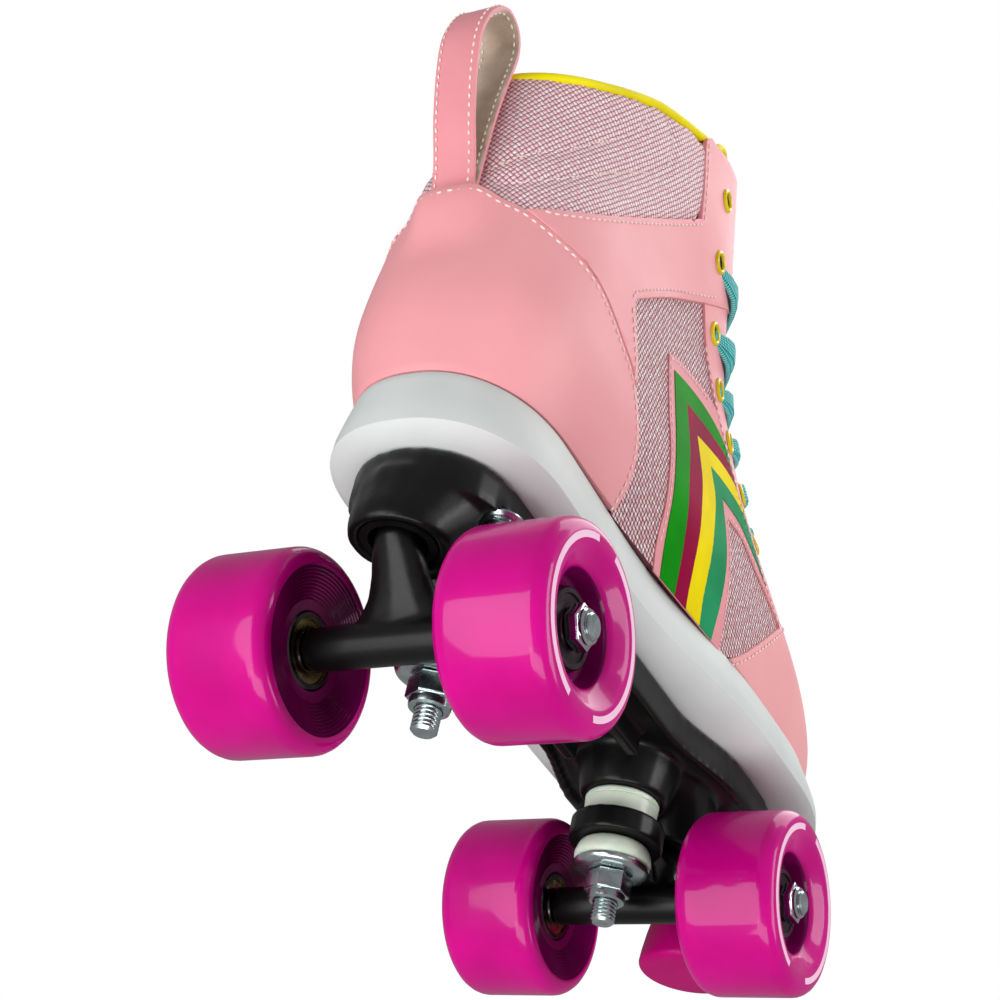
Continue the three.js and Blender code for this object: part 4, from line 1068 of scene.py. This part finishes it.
CHEVRON = {  # the left leg and the upper leg of each bent line as (y, z), from the bend outwards
    "border": (
        [(-27, 168), (-24.5, 159), (-21, 148), (-17, 138), (-15.2, 127), (-13.2, 117), (-11.5, 107),
         (-7.0, 98)],
        [(-27, 168), (-19, 171.5), (-6, 174.5), (8, 177), (30, 177)],
    ),
    "green": (
        [(-22, 165), (-18, 154), (-14, 141), (-11.2, 125), (-8.5, 111), (-3.0, 98)],
        [(-22, 165), (-10, 168), (2, 170), (16, 170.5), (40, 168)],
    ),
    "maroon": (
        [(-10, 161), (-4, 148), (-1.2, 132), (1.8, 116), (7.0, 98)],
        [(-10, 161), (1, 163), (15, 165), (29, 165.5), (50, 162)],
    ),
    "yellow": (
        [(1, 156), (8, 144), (9.8, 131), (11.5, 112), (15.0, 98)],
        [(1, 156), (14, 159), (27, 161), (45, 161), (62, 155)],
    ),
    "teal": (
        [(14, 153), (20, 144), (20.8, 130), (21.5, 111), (25.0, 98)],
        [(14, 153), (25, 155), (38, 156), (52, 155.5), (70, 150)],
    ),
    "inner": (
        [(26, 148.5), (31, 137), (32.8, 125), (33.5, 110), (34.0, 98)],
        [(26, 148.5), (35, 149.5), (44, 149.5), (54, 147), (74, 141)],
    ),
    "edge": (
        [(32.5, 144.5), (36, 134), (37.5, 122), (39, 110), (40.5, 98)],
        [(32.5, 144.5), (42, 145.6), (50, 144.8), (60, 141.5), (80, 136)],
    ),
}


def chevron_flat(outer, inner):
    """The flat outline between two of the chevron's bent lines."""
    outer_left, outer_right = (to_flat(smooth_line(leg, 6)) for leg in CHEVRON[outer])
    inner_left, inner_right = (to_flat(smooth_line(leg, 6)) for leg in CHEVRON[inner])
    return outer_left[::-1] + outer_right[1:] + inner_right[::-1] + inner_left[1:]


def sided(flat, side):
    return flat if side == "right" else flip(flat)


# [piece, outer line, inner line, depth of its top, depth of its underside, finish]
CHEVRON_PARTS = (
    ("chevron_base", "border", "edge", 0.3, 0.8, PINK_BORDER),
    ("stripe_green", "green", "maroon", 0.02, 0.28, GREEN),
    ("stripe_maroon", "maroon", "yellow", 0.02, 0.28, MAROON),
    ("stripe_yellow", "yellow", "teal", 0.02, 0.28, SUN_YELLOW),
    ("stripe_teal", "teal", "inner", 0.02, 0.28, TEAL_FILM),
)


def make_quarter(side):
    mesh = dress(pattern(sided(quarter_flat(), side)), 0.85, 3.0)
    piece(f"mesh_quarter_{side}", mesh, BOOT, [WEAVE, LINING], [f"quarter_{side}"])
    facing = sided(facing_flat(), side)
    piece(f"facing_{side}", dress(pattern(facing), -0.1, 0.8, bevel=0.3), BOOT, [PINK, PINK])
    below = to_flat([(-47.3, 130), (-47.3, 138)] + smooth_line(WINDOW[10:], 4)[::-1] + [(12, 219.5)])
    above = [(SPREAD * 0.95, 300), (0.5, 300), (0.5, 130)] + below + [(SPREAD * 0.95, 235)]
    ankle_band = pattern(facing, keep=sided(above, side))
    piece(f"ankle_band_{side}", dress(ankle_band, -0.8, -0.12, bevel=0.3), BOOT, [PINK, PINK])
    window = [(-37, 96), (-36.3, 108), (-36.8, 118), (-41, 128), (-47, 138)] + WINDOW[::-1][1:]
    window = sided(to_flat(window + [(67, 117), (54, 104), (46, 98)]), side)
    for name, outer, inner, top, under, material in CHEVRON_PARTS:
        shape = pattern(sided(chevron_flat(outer, inner), side), keep=window)
        piece(f"{name}_{side}", dress(shape, top, under), BOOT, [material, material])


def make_heel_and_toe():
    right = [(0.0, 165.8)] + [p for p in to_flat(smooth_line(HEEL_SEAM, 5)) if p[0] > 1 and p[1] > 99.2]
    heel = dress(pattern(flip(right)[:-1] + right), heel_depth, 3.0, bevel=0.3)
    piece("heel_leather", heel, BOOT, [PINK, LINING], ["heel_counter"])
    seam = to_flat([p for p in smooth_line(TOE_SEAM[1:6], 5) if p[1] > 99.3] + [(101.8, 152)])
    seam += [(286, 153.5), (SPREAD, 154.6)]
    toe = dress(pattern(seam + over_toe(seam)[1:]), -0.35, 3.0, bevel=0.3)
    piece("toe_leather", toe, BOOT, [PINK_TOE, LINING], ["toe_cap"])


def heel_depth(u, z):
    """The heel leather swells between its edges and lies over the pull loop's two ends."""
    share = min(abs(u) / (share_at(-45, 134) * SPREAD), 1.0)
    swell = 0.9 * (1 - share ** 2) * math.exp(-(((z - 130) / 22) ** 2))
    width = abs(on_outline(LAST, u / SPREAD, z).x)
    over_loop = 4.9 * (1 - smooth_share(width, 6.8, 17)) * smooth_share(z, 142, 165)
    return -0.35 - swell - over_loop


# ---- Padded collar and tongue --------------------------------------------------------------------

def share_near(point):
    """The share s of the boot's outline that lies nearest to a point, for a UV map."""
    z = min(max(point.z, 100.0), 286.0)
    place = Vector((abs(point.x), point.y, z))

    def gap(s):
        return (on_outline(LAST, s, z) - place).length_squared

    best = min((k / 24 for k in range(25)), key=gap)
    reach = 1 / 24
    while reach > 0.0004:
        best = min((best - reach / 2, best, best + reach / 2), key=lambda s: gap(min(max(s, 0.0), 1.0)))
        best = min(max(best, 0.0), 1.0)
        reach /= 2
    return math.copysign(best, point.x)


CLOTH_FRAMES = 20


def stuffed(bm, voxel_mm, cap_mm):
    """Remeshes a pad, blows it up as cloth with a little pressure, and caps how far its skin moves."""
    bmesh.ops.transform(bm, matrix=Matrix.Scale(MM, 4), verts=bm.verts)
    mesh = bpy.data.meshes.new("pad")
    bm.to_mesh(mesh)
    bm.free()
    pad = new_object("pad", mesh)
    remesh = pad.modifiers.new("remesh", "REMESH")
    remesh.mode = "VOXEL"
    remesh.voxel_size = voxel_mm * MM
    even = pad.modifiers.new("even", "SMOOTH")
    even.factor, even.iterations = 0.5, 2
    plain = bpy.data.meshes.new_from_object(pad.evaluated_get(bpy.context.evaluated_depsgraph_get()))
    pad.modifiers.clear()
    pad.data = plain
    start = [vert.co.copy() for vert in plain.vertices]
    cloth = pad.modifiers.new("cloth", "CLOTH")
    cloth.settings.quality = 5
    cloth.settings.mass = 0.2
    cloth.settings.use_pressure = True
    cloth.settings.uniform_pressure_force = 4
    cloth.settings.effector_weights.gravity = 0
    cloth.settings.tension_stiffness = 25
    cloth.settings.bending_stiffness = 1.0
    scene = bpy.context.scene
    cloth.point_cache.frame_start, cloth.point_cache.frame_end = 1, CLOTH_FRAMES
    for number in range(1, CLOTH_FRAMES + 1):
        scene.frame_set(number)
    blown = bpy.data.meshes.new_from_object(pad.evaluated_get(bpy.context.evaluated_depsgraph_get()))
    for vert, rest, moved in zip(plain.vertices, start, blown.vertices):
        shift = moved.co - rest
        if shift.length > cap_mm * MM:
            shift *= cap_mm * MM / shift.length
        vert.co = rest + shift
    pad.modifiers.clear()
    scene.frame_set(1)
    out = bmesh.new()
    out.from_mesh(pad.data)
    bpy.data.objects.remove(pad)
    bmesh.ops.transform(out, matrix=Matrix.Scale(1 / MM, 4), verts=out.verts)
    for _ in range(2):
        bmesh.ops.smooth_vert(out, verts=out.verts, factor=0.4, use_axis_x=True, use_axis_y=True,
                              use_axis_z=True)
    return out


def sewn(bm, lines, depth, spread):
    """Draws a pad's outer skin in along sewn lines."""
    bm.normal_update()
    for vert in bm.verts:
        near = min(((vert.co - p).length for line in lines for p, _ in line), default=99)
        if near < spread * 3:
            vert.co -= vert.normal * depth * math.exp(-((near / spread) ** 2))


def wrap_map(bm, front=False):
    """Gives a pad a UV map in metres that follows the boot; front keeps it whole over the toe's middle line."""
    layer = bm.loops.layers.uv.new("UVMap")
    place = {}
    for vert in bm.verts:
        z = min(max(vert.co.z, 100.0), 286.0)
        run = along(share_near(vert.co), z)
        if front and run < 0:
            run += 2 * lengths(round(z))[-1]
        place[vert] = (run * MM, vert.co.z * MM)
    for face in bm.faces:
        for loop in face.loops:
            loop[layer].uv = place[loop.vert]


QUILT = (
    [(-110, 178), (-104, 188), (-93, 199), (-81, 212), (-70, 226), (-66, 237)],
    [(-109, 172.5), (-105, 175), (-92, 187), (-72, 206), (-58, 219), (-51, 229), (-51, 239), (-57, 245)],
)


def padded_piece(name, pad, node):
    """A stuffed piece of the boot with one subdivision."""
    obj = piece(name, pad, BOOT, [COLLAR_WEAVE], [node], sharp=180)
    modifier = obj.modifiers.new("subdivision", "SUBSURF")
    modifier.levels = modifier.render_levels = 1


def quilt_paths(depth):
    paths = []
    for line in QUILT:
        right = to_flat(smooth_line(line, 6))
        paths += [surface_path(right, depth), surface_path(flip(right), depth)]
    return paths


def make_collar():
    ys = (-107.5, -100, -92, -84, -75, -66, -57, -48, -40, -30, -19)
    top = [(y, height_of(COLLAR_TOP, y) + 1.2) for y in ys]
    seam = [(-18.5, 262), (-17, 240)] + [(y, z - 2.6) for y, z in smooth_line(COLLAR_SEAM[1:], 5)[::-1]]
    right = [(0.0, 221.4)] + to_flat(top + seam) + [(0.0, 162)]
    pad = stuffed(dress(pattern(flip(right[1:-1]) + right), 0.6, 7.2), 2.2, 0.9)
    sewn(pad, quilt_paths(0.4), 0.9, 2.2)
    wrap_map(pad)
    skin = BVHTree.FromBMesh(pad)
    paths = [[skin.find_nearest(p)[:2] for p, _ in path] for path in quilt_paths(0.4)]
    padded_piece("quilted_collar", pad, "padded_collar")
    rows = bmesh.new()
    for path in paths:
        stitch(rows, path, 2.3, 1.9, 0.3, 0.0)
    piece("quilting", rows, BOOT, [THREAD], sharp=180)


def make_tongue():
    side = to_flat([(99, 149.5), (91, 152), (60, 156), (26, 166), (7, 183), (-4.5, 206), (-11, 240), (-12, 258),
                    (-11.5, 268), (-8.5, 277), (-2, 283.5), (7, 286.6)])
    top = [(share_at_width(20, 287) * SPREAD, 287), (SPREAD, 287)]
    right = [(SPREAD, 149.5)] + side + top
    pad = stuffed(dress(pattern(right + over_toe(right)[1:-1]), 4.2, 7.8), 2.4, 0.8)
    wrap_map(pad, front=True)
    padded_piece("padded_tongue", pad, "tongue")
    rim = side[6:] + top
    path = surface_path(smooth_line(rim + over_toe(rim)[1:], 4), 5.9)[::3]
    route = [p + Vector((0, 0, 0.5)) for p, _ in path]
    piping = band(route, [n for _, n in path], 3.4, 3.4, rounding=6)
    piece("tongue_piping", piping, BOOT, [YELLOW_PIPE, YELLOW_PIPE], sharp=60)


# ---- Piping, pull loop, eyelets, laces and stitching ---------------------------------------------

def make_piping():
    line = []
    end = share_at(2, 268)
    for k in range(97):
        s = -0.66 + 1.32 * k / 96
        z = 240.0
        for _ in range(6):
            z = height_of(COLLAR_TOP, on_outline(LAST, s, z).y)
        if abs(s) < end:
            line.append(inside(LAST, s, z, 1.8) + Vector((0, 0, 1.1)))
    normals = [Vector((0, 0, 1))] * len(line)
    piece("collar_piping", band(line, normals, 3.3, 3.3, rounding=6), BOOT, [YELLOW_PIPE, YELLOW_PIPE],
          ["collar_binding"], sharp=60)


LOOP_WIDTH, LOOP_THICKNESS = 14.4, 2.2


def make_pull_loop():
    route = [Vector((0, y, z)) for y, z in smooth_line(STRAP_LINE, 6)]
    normals = []
    for k in range(len(route)):
        ahead = route[min(k + 1, len(route) - 1)] - route[max(k - 1, 0)]
        normals.append(ahead.cross(Vector((1, 0, 0))).normalized())
    piece("webbing_loop", band(route, normals, LOOP_WIDTH, LOOP_THICKNESS), BOOT, [LINING, PINK_STRAP],
          ["pull_loop"], sharp=60)
    rows = bmesh.new()
    for offset in (-5.6, 5.6):
        for face in (1, -1):
            path = [(p + Vector((offset, 0, 0)) + n * face * LOOP_THICKNESS / 2, n * face)
                    for p, n in zip(route, normals)]
            stitch(rows, path[3:-3], 3.0, 2.0, 0.36, 0.08)
    piece("loop_stitching", rows, BOOT, [STRAP_THREAD], sharp=180)


EYELET = closed([(2.5, 0.05), (2.7, 0.8), (3.3, 1.1), (4.0, 0.8), (4.3, 0.05)])
EYELET_HOLE = [(0, 0.12), (2.6, 0.12), (2.6, 0.02), (0, 0.02)]


def make_eyelets():
    for side, sign in SIDES.items():
        rings = bmesh.new()
        for y, z in EYELETS:
            s = share_at(y, z) * sign
            centre, n = inside(LAST, s, z, -0.1 if z < 210 else -0.8), normal_at(LAST, s, z)
            place = Matrix.Translation(centre) @ n.to_track_quat("Z", "Y").to_matrix().to_4x4()
            ring = merge(lathe(EYELET, 30), lathe(EYELET_HOLE, 20, material=1))
            bmesh.ops.transform(ring, matrix=place, verts=ring.verts)
            merge(rings, ring)
        piece(f"eyelets_{side}", rings, BOOT, [EYELET_YELLOW, HOLE_BLACK])


LACE_STEPS = 36
LACE_WIDTH, LACE_THICKNESS = 7.6, 2.5


def lace_route(right, left):
    """A lace's points and normals from a right eyelet to a left one over the tongue."""
    (y0, z0), (y1, z1) = right, left
    start, end = share_at(y0, z0), 2 - share_at(y1, z1)
    rise = 13 - 11 * (z0 + z1 - 320) / 130  # a lower crossing climbs further over the tongue
    route, normals = [], []
    for k in range(LACE_STEPS + 1):
        t = k / LACE_STEPS
        middle = 1 - (2 * t - 1) ** 2
        edge = min(t, 1 - t)
        over_tongue = smooth_share(edge, 0.06, 0.24)
        z = z0 + (z1 - z0) * t + rise * middle
        bulge = 0.2 + 1.6 * smooth_share(z, 185, 225)
        lift = 1.4 - 4.0 * over_tongue + bulge * math.exp(-(((edge - 0.1) / 0.06) ** 2))
        dip = math.exp(-((edge / 0.05) ** 2))
        s = start + (end - start) * t
        route.append(inside(LAST, wrapped(s), z, -lift + 2.6 * dip))
        normals.append(normal_at(LAST, wrapped(s), z))
    return route, normals


def make_laces():
    bm = bmesh.new()
    laced = EYELETS[1:]
    crossings = [(laced[-1], laced[-1], 0)]
    for high, low in zip(laced, laced[1:]):
        crossings += [(high, low, 0), (low, high, 1)]
    shares = [0.55 + 0.45 * smooth_share(min(k, LACE_STEPS - k) / LACE_STEPS, 0.0, 0.1)
              for k in range(LACE_STEPS + 1)]
    for right, left, layer in crossings:
        route, normals = lace_route(right, left)
        route = [p + n * 2.6 * layer * math.sin(math.pi * k / LACE_STEPS)
                 for k, (p, n) in enumerate(zip(route, normals))]
        merge(bm, band(route, normals, LACE_WIDTH, LACE_THICKNESS, rounding=5, shares=shares))
    piece("braided_laces", bm, BOOT, [LACE, LACE], ["laces"], sharp=60)


BORDER_LEFT, _ = CHEVRON["border"]
EDGE_LEFT, EDGE_RIGHT = CHEVRON["edge"]
# [line, depth, offset sideways] of the seams' thread and of the finer thread round the chevron
SEAMS = (
    ([(-101, 165.5), (-97, 167), (-83, 177), (-63, 194), (-38, 216), (-25, 228)], -0.85, -2.0),
    ([(-25, 228), (-28.5, 243), (-32, 258)], -0.85, -2.0),
    (WINDOW[:10], -0.15, 2.0),
    ([(-2, 209.5)] + WINDOW[10:16], -0.85, -2.4),
    (WINDOW[15:], -0.85, -2.4),
    ([(42.5, 95.6), (54, 104), (67, 117), (83, 133), (99, 146.5)], -0.45, -2.0),
)
FINE_SEAMS = (
    (BORDER_LEFT[:-1], 0.25, 1.4),
    ([(-26, 168.5), (-19, 171.5), (-6, 174.5), (6, 176.5)], 0.25, -1.4),
    (EDGE_LEFT[:-1], 0.25, -1.0),
    (EDGE_RIGHT[:-1], 0.25, 1.2),
)


def make_stitching():
    for side, sign in SIDES.items():
        rows = bmesh.new()
        heel_line = [(0.3, 165.8)] + [p for p in to_flat(smooth_line(HEEL_SEAM, 6)) if p[0] > 4]
        heel_line = [(u * sign, z) for u, z in heel_line]
        stitch(rows, surface_path(heel_line, lambda u, z: heel_depth(u, z) - 0.05, -2.2 * sign))
        for seams, thread in ((SEAMS, (3.1, 2.2, 0.38)), (FINE_SEAMS, (2.8, 1.9, 0.28))):
            for line, depth, offset in seams:
                flat = [(u * sign, z) for u, z in to_flat(smooth_line(line, 6))]
                stitch(rows, surface_path(flat, depth, offset * sign), *thread)
        piece(f"stitching_{side}", rows, BOOT, [THREAD], sharp=180)


# ---- Build ---------------------------------------------------------------------------------------

set_camera()
bpy.context.scene.view_settings.view_transform = "Standard"
make_world()
make_floor()
softbox("key softbox", -15, -25, 1.5, (0.9, 1.5), 16)
softbox("side softbox", 100, 5, 1.4, (0.5, 1.4), 12)
softbox("low softbox", 20, -62, 1.4, (1.2, 0.5), 8)
softbox("top softbox", 160, 65, 1.6, (1.4, 1.4), 16)

for end in ENDS:
    make_truck(end)
    for side in SIDES:
        make_wheel(end, side)
make_plate()
make_toe_stop()
make_sole()
make_heel_and_toe()
for side in SIDES:
    make_quarter(side)
make_collar()
make_tongue()
make_piping()
make_pull_loop()
make_eyelets()
make_laces()
make_stitching()

CARRIED = {"pivot_cup": NYLON, "bearing_spacer": ZINC, "plate_bolt": ZINC}
for name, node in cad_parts.items():
    for start, finish in CARRIED.items():
        if name.startswith(start):
            node.data.materials.clear()
            node.data.materials.append(finish)
